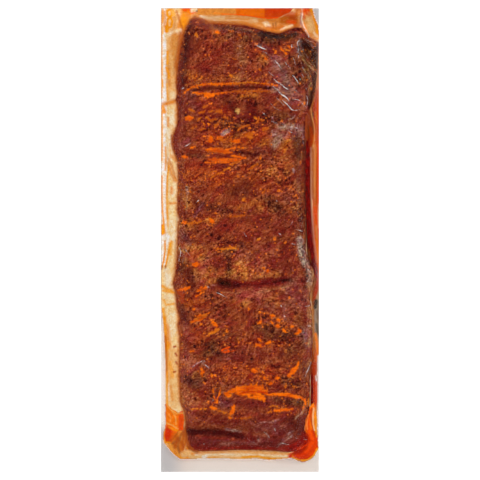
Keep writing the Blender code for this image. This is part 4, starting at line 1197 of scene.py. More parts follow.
def keep_cells(sheet, kept):
    """Deletes the vertices that aren't kept, with their cells, and any that no cell holds then."""
    pick(sheet)
    bpy.ops.object.mode_set(mode="EDIT")
    bpy.ops.mesh.select_mode(type="VERT")
    bpy.ops.mesh.select_all(action="DESELECT")
    bpy.ops.object.mode_set(mode="OBJECT")
    sheet.data.vertices.foreach_set("select", ~kept)
    bpy.ops.object.mode_set(mode="EDIT")
    bpy.ops.mesh.delete(type="VERT")
    bpy.ops.mesh.select_all(action="SELECT")
    bpy.ops.mesh.delete_loose()
    bpy.ops.object.mode_set(mode="OBJECT")


def heights_of(piece, points, upward=False):
    """Height of a piece's surface at each x, y, seen from above or from below."""
    tree = BVHTree.FromObject(piece, bpy.context.evaluated_depsgraph_get())
    start, way = (-0.05, 1.0) if upward else (0.1, -1.0)
    found = []
    for x, y, z in points.tolist():
        hit = tree.ray_cast(Vector((x * 0.9999, y * 0.9999, start)), Vector((0.0, 0.0, way)))[0]
        found.append(hit.z if hit is not None else (0.0 if upward else z))
    return np.array(found)


def floor_under(points):
    """Height a little over the bag's underside at each x, y: nothing in the bag lies lower."""
    return heights_of(bpy.data.objects["guide_under"], points, upward=True) + 0.2 * MM


def close_below(sheet, under, flat_bottom=False):
    """Draws the sheet down to the heights that under gives and closes it."""
    pick(sheet)
    bpy.ops.object.mode_set(mode="EDIT")
    bpy.ops.mesh.select_all(action="SELECT")
    bpy.ops.mesh.extrude_region_move(TRANSFORM_OT_translate={"value": (0.0, 0.0, -1.0 * MM)})
    bpy.ops.object.mode_set(mode="OBJECT")
    points = places(sheet)
    drawn = np.zeros(len(points), bool)
    sheet.data.vertices.foreach_get("select", drawn)
    lower = points[drawn]
    lower[:, 2] += 1.0 * MM
    points[drawn, 2] = under(lower)
    place(sheet, points)
    bpy.ops.object.mode_set(mode="EDIT")
    if flat_bottom:
        shape = bmesh.from_edit_mesh(sheet.data)
        lowest = min(vertex.co.z for vertex in shape.verts)
        for face in shape.faces:
            face.select = all(v.co.z < lowest + 0.002 * MM for v in face.verts)
        bmesh.update_edit_mesh(sheet.data)
        bpy.ops.mesh.select_mode(type="FACE")
        bpy.ops.mesh.dissolve_faces(use_verts=True)
    bpy.ops.mesh.select_all(action="SELECT")
    bpy.ops.mesh.normals_make_consistent(inside=False)
    bpy.ops.object.mode_set(mode="OBJECT")
    bpy.ops.object.shade_smooth()


def skin_lumps(points, rack_depth):
    """Lumps that the meat gives the film, and the ridges of the film's sharp creases."""
    lumps = 0.6 * rough_field(points, 7.0 * MM, 2, 3.0) + 0.4 * rough_field(points, 3.0 * MM, 2, 8.0)
    lumps *= 0.3 + 0.7 * ease(-1.0 * MM, 4.0 * MM, rack_depth)
    for half_width, line in CREASES:
        near, level = stroke_level(points, half_width + 0.3, 1.6, line)
        lumps[near] = np.maximum(lumps[near], lumps[near] + 0.7 * level)
    return lumps


class Recipe:
    """A material being made, with short calls for the nodes that it uses."""

    def __init__(self, name):
        self.material = bpy.data.materials.new(name)
        self.material.use_nodes = True
        self.tree = self.material.node_tree
        self.tree.nodes.clear()
        self.output = self.tree.nodes.new("ShaderNodeOutputMaterial")
        self.where = self.tree.nodes.new("ShaderNodeTexCoord").outputs["Object"]

    def node(self, kind, inputs=(), **settings):
        made = self.tree.nodes.new("ShaderNode" + kind)
        for key, value in settings.items():
            setattr(made, key, value)
        for key, value in dict(inputs).items():
            self.put(made.inputs[key], value)
        return made

    def put(self, socket, value):
        if isinstance(value, bpy.types.NodeSocket):
            self.tree.links.new(value, socket)
        elif hasattr(value, "__len__"):
            wide = tuple(value)
            socket.default_value = wide + (1.0,) if len(socket.default_value) > len(wide) else wide
        else:
            socket.default_value = value

    def noise(self, size, detail=3.0, roughness=0.55, stretch=(1.0, 1.0, 1.0), turn=0.0, warp=0.0):
        """Noise with lumps of the given size, drawn out by stretch along the turned axes."""
        turned = self.node("Mapping", {
            "Vector": self.where, "Scale": stretch, "Rotation": (0.0, 0.0, math.radians(turn))},
            vector_type="TEXTURE").outputs[0]
        return self.node("TexNoise", {
            "Vector": turned, "Scale": 1.0 / size, "Detail": detail,
            "Roughness": roughness, "Distortion": warp}).outputs["Fac"]

    def crumbs(self, size, reach, share, seed):
        """Ragged crumbs in cells of the given size: where they lie and a random tint for each."""
        ragged = self.node("TexNoise", {
            "Vector": self.where, "Scale": 1.3 / size, "Detail": 3.0, "Roughness": 0.6})
        moved = self.node("VectorMath", {
            0: ragged.outputs["Color"], 1: (0.9 * size,) * 3, 2: self.where},
            operation="MULTIPLY_ADD")
        spot = self.node("VectorMath", {0: moved.outputs[0], 1: (seed, seed, 0.0)})
        cells = self.node("TexVoronoi", {"Vector": spot.outputs[0], "Scale": 1.0 / size})
        tints = self.node("SeparateColor", {0: cells.outputs["Color"]})
        chosen = self.math("LESS_THAN", tints.outputs[0], share)
        inside = self.span(cells.outputs["Distance"], reach * 1.15, reach * 0.8)
        return self.math("MULTIPLY", chosen, inside), tints.outputs[1]

    def value(self, name):
        return self.node("Attribute", attribute_name=name).outputs["Fac"]

    def tone(self, name):
        return self.node("Attribute", attribute_name=name).outputs["Color"]

    def span(self, value, low, high, start=0.0, end=1.0):
        return self.node("MapRange", {
            "Value": value, "From Min": low, "From Max": high, "To Min": start, "To Max": end},
            interpolation_type="SMOOTHSTEP").outputs["Result"]

    def math(self, operation, a, b):
        return self.node("Math", {0: a, 1: b}, operation=operation).outputs[0]

    def mix(self, share, a, b, blend="MIX"):
        made = self.node("Mix", data_type="RGBA", blend_type=blend)
        self.put(made.inputs["Factor"], share)
        self.put(made.inputs[6], a)
        self.put(made.inputs[7], b)
        return made.outputs[2]

    def grained(self, colour, grain, low, high, dark, light):
        """The colour darkened and lightened by a grain."""
        return self.mix(1.0, colour, self.mix(self.span(grain, low, high), dark, light), "MULTIPLY")

    def bump(self, height, strength, distance):
        return self.node("Bump", {
            "Height": height, "Strength": strength, "Distance": distance}).outputs[0]

    def surface(self, **inputs):
        names = {key.replace("_", " "): value for key, value in inputs.items()}
        return self.node("BsdfPrincipled", names).outputs[0]

    def finish(self, shader):
        self.tree.links.new(shader, self.output.inputs["Surface"])
        return self.material


def meat_material(settings):
    """Smoked meat: painted tones with fibres, crumbs of rub and fat, pits, smooth smears and patches of painted
    film sheen.
    """
    r = Recipe("smoked_meat")
    tone, flecks, pepper = r.tone("tone"), r.value("flecks"), r.value("pepper")
    hues = r.noise(6.0 * MM, 4.0, 0.6, stretch=(2.0, 1.0, 1.0), turn=32.0, warp=0.5)
    colour = r.grained(tone, hues, 0.36, 0.64, (0.83, 0.5, 0.58), (1.18, 1.54, 1.2))
    plum = r.span(r.noise(5.0 * MM, 3.0, 0.6, warp=0.6), 0.54, 0.68, 0.0, 0.7)
    colour = r.mix(plum, colour, r.mix(1.0, colour, (0.86, 0.86, 1.6), "MULTIPLY"))
    rising = r.noise(2.0 * MM, 3.0, 0.62, stretch=(4.2, 1.0, 1.0), turn=34.0, warp=0.25)
    level = r.noise(2.0 * MM, 3.0, 0.62, stretch=(3.0, 1.0, 1.0), turn=-8.0, warp=0.35)
    upright = r.noise(2.0 * MM, 3.0, 0.62, stretch=(3.4, 1.0, 1.0), turn=82.0, warp=0.25)
    fibres = r.node("Mix", {0: r.span(r.noise(34 * MM, 1.0), 0.42, 0.58), 2: rising, 3: level},
                    data_type="FLOAT").outputs[0]
    fibres = r.node("Mix", {0: r.span(r.noise(27 * MM, 1.0), 0.52, 0.62), 2: fibres, 3: upright},
                    data_type="FLOAT").outputs[0]
    colour = r.grained(colour, fibres, 0.36, 0.64, (0.68, 0.52, 0.46), (1.34, 1.58, 1.75))
    for size, reach, base, more, seed in (
        (3.0 * MM, 0.6, 0.03, 0.3, 0.0), (1.7 * MM, 0.55, 0.08, 0.4, 3.0),
    ):
        share = r.math("ADD", r.math("MULTIPLY", pepper, more), base)
        pits, tint = r.crumbs(size, reach, share, seed)
        deep = r.mix(1.0, colour, (0.3, 0.17, 0.2), "MULTIPLY")
        colour = r.mix(r.math("MULTIPLY", pits, r.span(tint, -0.6, 0.8)), colour, deep)
    # Painted film sheen: a pale, bluish lift in patches, more on the lighter tones.
    sheen_mist = r.span(r.noise(2.2 * MM, 4.0, 0.7, warp=0.4), 0.5, 0.68, 0.0, 0.6)
    sheen_mist = r.math("MULTIPLY", sheen_mist, r.span(tone, 0.005, 0.035))
    pale = r.mix(1.0, r.mix(1.0, colour, (1.1, 1.7, 2.0), "MULTIPLY"), (0.03, 0.018, 0.018), "ADD")
    colour = r.mix(sheen_mist, colour, pale)
    for size, reach, base, more, seed in (
        (3.3 * MM, 0.5, 0.03, 0.4, 6.0), (1.6 * MM, 0.52, 0.06, 0.4, 9.0),
    ):
        share = r.math("ADD", r.math("MULTIPLY", flecks, more), base)
        rub, tint = r.crumbs(size, reach, share, seed)
        brown = r.mix(1.0, colour, (1.6, 1.9, 1.1), "MULTIPLY")
        crumb = r.mix(r.span(tint, 0.35, 0.95), brown, settings.fleck)
        colour = r.mix(r.math("MULTIPLY", rub, r.span(tint, -0.7, 0.7)), colour, crumb)
    grain = r.noise(1.5 * MM, 4.0, 0.8, stretch=(1.5, 1.0, 1.0), turn=34.0)
    sharp = r.grained(colour, grain, 0.38, 0.62, (0.44, 0.27, 0.18), (1.55, 2.1, 2.7))
    colour = r.mix(r.value("busy"), colour, sharp)
    colour = r.mix(1.0, colour, MEAT_BALANCE, "MULTIPLY")
    streaks = r.noise(2.4 * MM, 3.0, 0.6, stretch=(4.0, 1.0, 1.0), turn=-4.0, warp=0.4)
    greasy = r.grained(tone, streaks, 0.36, 0.62, (1.08, 1.2, 1.1), (0.8, 0.6, 0.5))
    colour = r.mix(r.value("smear"), colour, greasy)
    bump = r.bump(r.math("ADD", fibres, grain), 0.5, 0.5 * MM)
    return r.finish(r.surface(
        Base_Color=colour, Roughness=0.55, Normal=bump, Specular_IOR_Level=0.03))


def set_fat_material():
    """Set fat: painted tones with soft blotches, curds and a fine grain."""
    r = Recipe("set_fat")
    colour = r.tone("tone")
    blotches = r.noise(4.0 * MM, 3.0, 0.6, warp=0.8)
    colour = r.grained(colour, blotches, 0.34, 0.66, (0.98, 0.83, 0.58), (1.03, 1.09, 1.15))
    curds = r.noise(1.5 * MM, 3.0, 0.7, warp=0.4)
    colour = r.grained(colour, curds, 0.34, 0.66, (0.9, 0.84, 0.78), (1.06, 1.12, 1.16))
    bump = r.bump(curds, 0.2, 0.5 * MM)
    return r.finish(r.surface(
        Base_Color=colour, Roughness=0.42, Normal=bump, Specular_IOR_Level=0.02))


def layer_material(name, roughness):
    """A layer of rendered fat or juice: painted tones, clearer where it thins out."""
    r = Recipe(name)
    swirl = r.noise(3.5 * MM, 3.0, 0.6, warp=0.8)
    colour = r.grained(r.tone("tone"), swirl, 0.3, 0.7, (0.86, 0.76, 0.7), (1.08, 1.16, 1.2))
    edge = r.span(r.math("ADD", r.value("thick"), r.math("MULTIPLY", swirl, 0.3)), 0.5, 0.85)
    body = r.surface(
        Base_Color=colour, Roughness=roughness, Normal=r.bump(swirl, 0.2, 0.4 * MM),
        Specular_IOR_Level=0.04)
    clear = r.node("BsdfTransparent").outputs[0]
    return r.finish(r.node("MixShader", {"Fac": edge, 1: clear, 2: body}).outputs[0])


def pepper_material():
    """Coarse black and brown grains of the rub."""
    r = Recipe("pepper_grains")
    tone = r.noise(2.4 * MM, 2.0)
    colour = r.mix(r.span(tone, 0.42, 0.62), srgb(50, 20, 14), srgb(104, 50, 26))
    return r.finish(r.surface(
        Base_Color=colour, Roughness=0.6, Normal=r.bump(tone, 0.4, 0.3 * MM),
        Specular_IOR_Level=0.1))


def bone_side_material():
    """The pale membrane over the bones on the underside."""
    r = Recipe("bone_side")
    clouds = r.noise(14 * MM, 4.0, 0.6)
    colour = r.mix(r.span(clouds, 0.35, 0.68), srgb(134, 66, 42), srgb(188, 128, 90))
    colour = r.mix(r.value("bone"), colour, srgb(214, 176, 140))
    grain = r.noise(2.0 * MM, 3.0, 0.6, stretch=(3.0, 1.0, 1.0))
    colour = r.mix(r.span(grain, 0.55, 0.75, 0.0, 0.6), colour, srgb(106, 44, 28))
    return r.finish(r.surface(
        Base_Color=colour, Roughness=0.45, Normal=r.bump(grain, 0.4, 0.5 * MM)))


def film_material(settings, name, roughness):
    """Clear film: what lies behind shows through, with gloss on top, a milk-white painted sheen and a dull seam.
    """
    r = Recipe(name)
    ripple = r.noise(4 * MM, 3.0, 0.55, warp=0.5)
    normal = r.bump(ripple, 0.12, 0.6 * MM)
    clear = r.node("BsdfTransparent", {"Color": settings.tint}).outputs[0]
    cool = r.span(r.value("seam"), 0.5, 0.66)
    dull = r.mix(cool, settings.seam, settings.cool_seam)
    seam = r.node("BsdfDiffuse", {"Color": dull}).outputs[0]
    milk = r.node("BsdfDiffuse", {"Color": settings.milk}).outputs[0]
    gloss = r.node("BsdfGlossy", {"Roughness": roughness, "Normal": normal}).outputs[0]
    body = r.node("MixShader", {"Fac": r.value("seam"), 1: clear, 2: seam}).outputs[0]
    # Painted sheen: milk-white streaks where the painted sheen is laid on.
    streaks = r.noise(1.5 * MM, 3.0, 0.6, stretch=(4.0, 1.0, 1.0), turn=-42.0, warp=0.6)
    sheen_haze = r.math("MULTIPLY", r.value("milky"), r.span(streaks, 0.46, 0.68, 0.2, 2.6))
    body = r.node("MixShader", {"Fac": sheen_haze, 1: body, 2: milk}).outputs[0]
    facing = r.node("LayerWeight", {"Blend": 0.5, "Normal": normal}).outputs["Facing"]
    bounce = r.math("ADD", r.math("MULTIPLY", r.math("POWER", facing, 4.0), 0.05), 0.004)
    return r.finish(r.node("MixShader", {"Fac": bounce, 1: body, 2: gloss}).outputs[0])


def floor_material(settings):
    """Plain white paper floor that stays pale in the shade of the bag."""
    r = Recipe("floor")
    paper = r.noise(0.4, 2.0)
    colour = r.mix(r.span(paper, 0.3, 0.7, 0.0, 0.05), (0.93, 0.93, 0.93), (0.88, 0.88, 0.88))
    return r.finish(r.surface(
        Base_Color=colour, Roughness=0.9, Emission_Color=(1.0, 1.0, 1.0),
        Emission_Strength=settings.floor_glow))


class SPARERIBS_OT_guides(bpy.types.Operator):
    """Make the smooth guides that the pieces are laid on"""

    bl_idname = "spareribs.guides"
    bl_label = "Bag guides"

    def execute(self, context):
        bag_guides()
        return {"FINISHED"}


class SPARERIBS_OT_rack(bpy.types.Operator):
    """Make the rack: a closed body of meat under the film, with crags, fibres and furrows"""

    bl_idname = "spareribs.rack"
    bl_label = "Rack of ribs"

    def execute(self, context):
        s = context.scene.spareribs_rack
        edge = to_metres(RACK_OUTLINE)
        rack = sheet_over(
            "rib_rack", edge.min(0) - 2 * MM, np.minimum(edge.max(0) + 2 * MM, HIGH[:2]), s.pitch)
        points = places(rack)
        depth = depth_inside(points[:, :2], RACK_OUTLINE)
        keep_cells(rack, depth > -2.2 * MM)
        points = places(rack)
        ragged = 0.5 * MM * rough_field(points, 2.6 * MM, 2, 21.0)
        depth = depth_inside(points[:, :2], RACK_OUTLINE) + ragged
        fine = rough_field(points, 1.9 * MM, 3, 5.0)
        mid = rough_field(points, 5.0 * MM, 3, 6.0)
        crags = rough_field(points, 2.0 * MM, 3, 31.0, (2.2, 1.0), 30.0)
        smear = np.zeros(len(points))
        tones = np.tile(srgb(*PALETTE["meat"]), (len(points), 1))
        tones = lay_tones(points, tones, MEAT_TONES, 0.7 * mid + 0.7 * fine, 0.6)
        for colour, half_width, line in SMEARS:
            near, level = stroke_level(points, half_width + 0.25, 0.6, line, fine, 1.3, 0.35)
            smear[near] = np.maximum(smear[near], level)
            pale = np.array(srgb(*PALETTE["rust"]))
            full = np.array(srgb(*PALETTE[colour]))
            tones[near] += (full - tones[near]) * level[:, None]
            rim = (ease(0.0, 0.3, level) * ease(0.7, 0.3, level) * 0.5)[:, None]
            tones[near] += (pale - tones[near]) * rim
        x, y = to_pixels(points)
        # Painted shade along the rack's edge where the meat falls away, partly its darker bark.
        warm = np.maximum(ease(250.0, 225.0, x), ease(425.0, 440.0, y))[:, None]
        # Its tone is dark maroon, crust brown on the left and bottom, blood red at the bottom right.
        edge_tone = np.array(srgb(*PALETTE["dark_maroon"])) * (1.0 - warm)
        edge_tone += np.array(srgb(*PALETTE["crust"])) * warm
        bloody = (ease(284.0, 292.0, x) * ease(432.0, 438.0, y))[:, None]
        edge_tone += (np.array(srgb(*PALETTE["blood"])) - edge_tone) * bloody
        # The painted edge shade reaches further and is stronger along the top.
        top = ease(60.0, 30.0, y)
        reach = (1.8 + 1.4 * top) * MM
        rim = (0.6 + 0.2 * top) * ease(reach, 0.1 * MM, depth + 0.8 * MM * fine)
        tones += (edge_tone - tones) * rim[:, None]
        paint_colour(rack, "tone", tones)
        away = 1.0 - smear
        flecks = stroke_field(points, FLECK_PLACES, 5.0, mid, 2.5)
        quiet = 0.16 * ease(418.0, 428.0, y)
        paint(rack, "flecks", flecks * away * ease(-0.5, 0.3, mid) - quiet)
        pepper = stroke_field(points, PEPPER_PLACES, 4.0, mid, 2.5)
        paint(rack, "pepper", pepper * away - 3.0 * quiet)
        broad = rough_field(points, 11.0 * MM, 3, 41.0)
        busy = 0.5 + 0.45 * np.maximum(flecks, pepper) + 0.35 * ease(-0.3, 0.4, broad)
        paint(rack, "busy", np.clip(busy, 0.0, 1.0))
        paint(rack, "smear", smear)
        points[:, 2] += skin_lumps(points, depth) * context.scene.spareribs_film.cling
        points[:, 2] -= s.gap + s.crag * (0.5 + 0.5 * np.clip(crags, -1.0, 1.0)) * (1 - 0.6 * smear)
        points[:, 2] -= 4.0 * MM * ease(0.1 * MM, -1.4 * MM, depth)
        base = 1.2 * MM
        points[:, 2] = np.maximum(points[:, 2], base + 0.1 * MM)
        place(rack, points)
        close_below(rack, lambda drawn: np.full(len(drawn), base), flat_bottom=True)
        finish_piece(rack, meat_material(s))
        return {"FINISHED"}


def fat_bed(points, inside, filled, settings, cling):
    """Height of the set fat's surface, which dives under the rack's edge."""
    curds = rough_field(points, 5.0 * MM, 2, 15.0)
    full = ease(-0.5 * MM, 4.0 * MM, filled)
    height = points[:, 2] + skin_lumps(points, inside) * cling * full
    height -= settings.gap * (0.5 + 0.5 * full) + 0.22 * MM * (1.0 + curds) * full
    return height - 3.0 * MM * ease(-0.1 * MM, 2.6 * MM, inside)


class SPARERIBS_OT_set_fat(bpy.types.Operator):
    """Make the set fat that is pressed round the rack"""

    bl_idname = "spareribs.set_fat"
    bl_label = "Set fat"

    def execute(self, context):
        s = context.scene.spareribs_fat
        fat = sheet_over("set_fat", LOW, HIGH, s.pitch)
        points = places(fat)
        inside = depth_inside(points[:, :2], RACK_OUTLINE)
        filled = depth_inside(points[:, :2], FAT_OUTLINE)
        keep_cells(fat, (inside < 3.0 * MM) & (filled > -0.3 * MM))
        points = places(fat)
        inside = depth_inside(points[:, :2], RACK_OUTLINE)
        filled = depth_inside(points[:, :2], FAT_OUTLINE)
        fine = rough_field(points, 2.2 * MM, 3, 12.0)
        tones = np.tile(srgb(*PALETTE["cream"]), (len(points), 1))
        tones = lay_tones(points, tones, MARGIN_TONES, fine, 0.3, 0.35)
        x, y = to_pixels(points)
        # Painted shade: the top ridge and the right margin, which face the key light, are darkened.
        ridge = ease(14.0, 17.0, y) * ease(28.0, 22.0, y) * ease(194.0, 206.0, x)
        facing_key = np.maximum(ease(304.0, 310.0, x), ridge)
        tones *= 1.0 - 0.26 * facing_key[:, None]
        # Painted shade where the fat meets the rack, partly the meat's brown side showing through.
        rim_shade_share = 1.0 - ease(296.0, 302.0, x) * ease(50.0, 60.0, y)
        rim_shade_share *= 1.0 - ease(284.0, 290.0, x) * ease(440.0, 446.0, y)
        rim_shade_share *= 1.0 - 0.55 * ease(444.0, 449.0, y)
        # It is toast brown over 3.4 mm and crust brown over 1.5 mm, left out on the right, weaker at the bottom.
        for colour, strength, reach in (("toast", 0.75, 3.4 * MM), ("crust", 0.9, 1.5 * MM)):
            rim = strength * rim_shade_share * ease(-reach, 0.3 * MM, inside + 0.7 * MM * fine)
            tones += (np.array(srgb(*PALETTE[colour])) - tones) * rim[:, None]
        paint_colour(fat, "tone", tones)
        floor = floor_under(points)
        bed = fat_bed(points, inside, filled, s, context.scene.spareribs_film.cling)
        points[:, 2] = np.maximum(bed, floor + 0.15 * MM)
        place(fat, points)
        close_below(fat, lambda drawn: floor)
        finish_piece(fat, set_fat_material())
        return {"FINISHED"}


def thin_layer(name, settings, cling, field_of, tones_of, rise, roughness):
    """A thin closed layer on the set fat, which comes out of it where its field passes a half."""
    layer = sheet_over(name, LOW, HIGH, settings.pitch)
    keep_cells(layer, field_of(places(layer)) > 0.15)
    points = places(layer)
    field = field_of(points)
    inside = np.minimum(depth_inside(points[:, :2], RACK_OUTLINE), 0.0)
    filled = depth_inside(points[:, :2], FAT_OUTLINE)
    paint(layer, "thick", field)
    paint_colour(layer, "tone", tones_of(points))
    floor = floor_under(points)
    bed = fat_bed(points, inside, filled, settings, cling) + rise * (2.0 * field - 0.8)
    points[:, 2] = np.maximum(bed, floor + 0.25 * MM)
    place(layer, points)
    close_below(layer, lambda drawn: np.maximum(drawn[:, 2] - 0.4 * MM, floor))
    finish_piece(layer, layer_material(name, roughness))


class SPARERIBS_OT_pools(bpy.types.Operator):
    """Make the pools of rendered fat, the orange slab and the juice round the rack"""

    bl_idname = "spareribs.pools"
    bl_label = "Pools and juice"

    def execute(self, context):
        s = context.scene.spareribs_fat
        cling = context.scene.spareribs_film.cling

        def pool_field(points):
            ragged = 0.5 * MM * rough_field(points, 3.0 * MM, 2, 51.0)
            depth = np.maximum(*(depth_inside(points[:, :2], outline) for outline in POOL_OUTLINES))
            return ease(-1.1 * MM, 1.1 * MM, depth + 1.6 * ragged)

        def pool_tones(points):
            fine = rough_field(points, 3.0 * MM, 2, 52.0)
            tones = np.tile(srgb(*PALETTE["bright"]), (len(points), 1))
            return lay_tones(points, tones, POOL_TONES, fine, 0.2, 0.3)

        thin_layer("rendered_fat", s, cling, pool_field, pool_tones, s.rise, 0.3)

        def slab_field(points):
            ragged = 0.5 * MM * rough_field(points, 4.0 * MM, 2, 55.0)
            return ease(-0.8 * MM, 0.8 * MM, depth_inside(points[:, :2], SLAB_OUTLINE) + ragged)

        def slab_tones(points):
            x, y = to_pixels(points)
            fine = rough_field(points, 3.0 * MM, 2, 56.0)
            tones = np.tile(srgb(*PALETTE[SLAB_BANDS[0][0]]), (len(points), 1))
            for colour, start in SLAB_BANDS[1:]:
                share = ease(start - 0.8, start + 0.8, x)[:, None]
                tones += (np.array(srgb(*PALETTE[colour])) - tones) * share
            return lay_tones(points, tones, SLAB_TONES, fine, 0.3, 0.3)

        thin_layer("fat_slab", s, cling, slab_field, slab_tones, s.rise, 0.3)

        def juice_field(points):
            fine = rough_field(points, 3.0 * MM, 2, 61.0)
            return stroke_field(points, JUICE, 0.9, fine, 0.5)

        def juice_tones(points):
            fine = rough_field(points, 2.0 * MM, 2, 62.0, (0.5, 3.0))
            tones = np.tile(srgb(*PALETTE["dark_red"]), (len(points), 1))
            share = ease(-0.2, 0.5, fine)[:, None]
            return tones + (np.array(srgb(*PALETTE["blood"])) - tones) * share

        thin_layer("meat_juice", s, cling, juice_field, juice_tones, s.rise, 0.2)
        return {"FINISHED"}


class SPARERIBS_OT_pepper(bpy.types.Operator):
    """Lay coarse grains of the rub on the meat"""

    bl_idname = "spareribs.pepper"
    bl_label = "Pepper grains"

    def execute(self, context):
        draw = random.Random(7)
        deselect_all()
        bpy.ops.mesh.primitive_ico_sphere_add(subdivisions=1, radius=1.0, location=(0, 0, 0))
        grain = context.object
        edge = to_metres(RACK_OUTLINE)
        low, high = edge.min(0), edge.max(0)
        spots = []
        while len(spots) < context.scene.spareribs_rack.grains:
            spot = (draw.uniform(low[0], high[0]), draw.uniform(low[1], high[1]), 0.0)
            if draw.random() < noise.noise(Vector(spot) / (16 * MM)) + 0.4:
                spots.append(spot)
        spots = np.array(spots)
        spots = spots[depth_inside(spots[:, :2], RACK_OUTLINE) > 1.5 * MM]
        heights = heights_of(bpy.data.objects["rib_rack"], spots)
        form = bmesh.new()
        for (x, y, _), z in zip(spots.tolist(), heights.tolist()):
            start = len(form.verts)
            form.from_mesh(grain.data)
            form.verts.ensure_lookup_table()
            size = draw.uniform(0.2, 0.48) * MM
            wide = draw.uniform(0.8, 1.5)
            turn = draw.uniform(0.0, math.tau)
            for vertex in form.verts[start:]:
                point = vertex.co * (1.0 + 0.25 * noise.noise(vertex.co * 1.7 + Vector((x, y, 0)) * 900))
                vertex.co = Vector((
                    x + size * (wide * point.x * math.cos(turn) - point.y * math.sin(turn)),
                    y + size * (wide * point.x * math.sin(turn) + point.y * math.cos(turn)),
                    z + size * 0.5 * point.z))
        mesh = bpy.data.meshes.new("pepper_grains")
        form.to_mesh(mesh)
        form.free()
        drop(grain)
        pepper = bpy.data.objects.new("pepper_grains", mesh)
        context.scene.collection.objects.link(pepper)
        finish_piece(pepper, pepper_material())
        return {"FINISHED"}


class SPARERIBS_OT_bone_side(bpy.types.Operator):
    """Make the membrane over the bones on the underside of the rack"""

    bl_idname = "spareribs.bone_side"
    bl_label = "Bone side"

    def execute(self, context):
        inset = 16 * MM
        side = sheet_over(
            "bone_side", (LOW[0] + inset, LOW[1] + inset), (HIGH[0] - inset, HIGH[1] - inset),
            2.2 * MM)
        keep_cells(side, depth_inside(places(side)[:, :2], RACK_OUTLINE) > 1.5 * MM)
        points = places(side)
        rib = np.cos(points[:, 1] / (31 * MM) * math.tau + 0.6 * rough_field(points, 80 * MM, 1))
        bone = ease(0.1, 0.9, rib)
        paint(side, "bone", 0.8 * bone)
        points[:, 2] = 1.6 * MM
        place(side, points)
        low = 1.3 * MM - 0.75 * MM * bone - 0.3 * MM * rough_field(points, 9 * MM, 2, 71.0)
        close_below(side, lambda drawn: np.clip(low, 0.35 * MM, 1.5 * MM))
        finish_piece(side, bone_side_material())
        return {"FINISHED"}


class SPARERIBS_OT_film(bpy.types.Operator):
    """Make the clear bag, with its top clinging to the meat and its flat seam"""

    bl_idname = "spareribs.film"
    bl_label = "Clear film"

    def execute(self, context):
        s = context.scene.spareribs_film
        film = sheet_over("clear_film", LOW, HIGH, s.pitch)
        points = places(film)
        inside = depth_inside(points[:, :2], RACK_OUTLINE)
        filled = depth_inside(points[:, :2], FAT_OUTLINE)
        full = ease(-0.5 * MM, 4.0 * MM, filled)
        points[:, 2] += skin_lumps(points, inside) * s.cling * full
        place(film, points)
        # Painted sheen of the film: milk-white halos round its glints.
        milky = np.zeros(len(points))
        for strength, half_width, soft, line in FILM_SHEEN_HAZE:
            near, level = stroke_level(points, half_width, soft, line)
            milky[near] = np.maximum(milky[near], strength * level)
        x, y = to_pixels(points)
        corner = ease(298.0, 308.0, x) * ease(60.0, 44.0, y)
        pale_side = ease(180.0, 166.0, x) * ease(318.0, 334.0, y) * ease(432.0, 420.0, y)
        seam = 0.48 + 0.16 * ease(196.0, 166.0, x) + 0.2 * corner - 0.26 * pale_side
        fat_to_the_edge = ease(317.0, 318.0, x) * ease(28.0, 34.0, y) * ease(354.0, 346.0, y)
        seam *= ease(0.5 * MM, -0.5 * MM, filled) * (1 - fat_to_the_edge)
        under = bpy.data.objects["guide_under"]
        top_count = len(points)
        close_below(film, lambda drawn: np.maximum(heights_of(under, drawn, upward=True), 0.0),
                    flat_bottom=True)
        rest = len(film.data.vertices) - top_count
        paint(film, "milky", np.append(milky, np.full(rest, 0.02)))
        paint(film, "seam", np.append(seam, np.full(rest, 0.1)))
        finish_piece(film, film_material(s, "clear_film", 0.12))
        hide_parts(PACK_NODE)
        return {"FINISHED"}


def smooth_route(line, steps):
    """Points along the smooth curve through a line's points."""
    route = []
    last = len(line) - 1
    for i in range(last):
        before, start = line[max(i - 1, 0)], line[i]
        end, after = line[i + 1], line[min(i + 2, last)]
        for step in range(steps):
            t = step / steps
            route.append(0.5 * (
                2 * start + (end - before) * t
                + (2 * before - 5 * start + 4 * end - after) * t**2
                + (3 * start - before - 3 * end + after) * t**3))
    route.append(line[last])
    return np.array(route)


def crease_curve(index, half_width, line):
    """A tapering, slightly wavy rod along one crease, sunk in the film for the most part."""
    curve = bpy.data.curves.new("crease", "CURVE")
    curve.dimensions = "3D"
    curve.bevel_depth = half_width * PIXEL * 0.85
    curve.bevel_resolution = 1
    curve.use_fill_caps = True
    spline = curve.splines.new("POLY")
    route = smooth_route(to_metres(line), 12)
    spline.points.add(len(route) - 1)
    heights = heights_of(
        bpy.data.objects["clear_film"], np.column_stack((route, np.zeros(len(route)))))
    for i, (point, (x, y), z) in enumerate(zip(spline.points, route, heights)):
        drift = 0.3 * MM * noise.noise((i * 0.3, index * 3.1, 0.0))
        swell = math.sin(math.pi * (0.04 + 0.92 * i / (len(route) - 1)))
        point.radius = swell * (0.62 + 0.6 * noise.noise((i * 0.45, index * 7.7, 4.0)))
        point.co = (x + drift, y + drift, z - 0.5 * curve.bevel_depth * point.radius, 1.0)
    return bpy.data.objects.new("crease", curve)


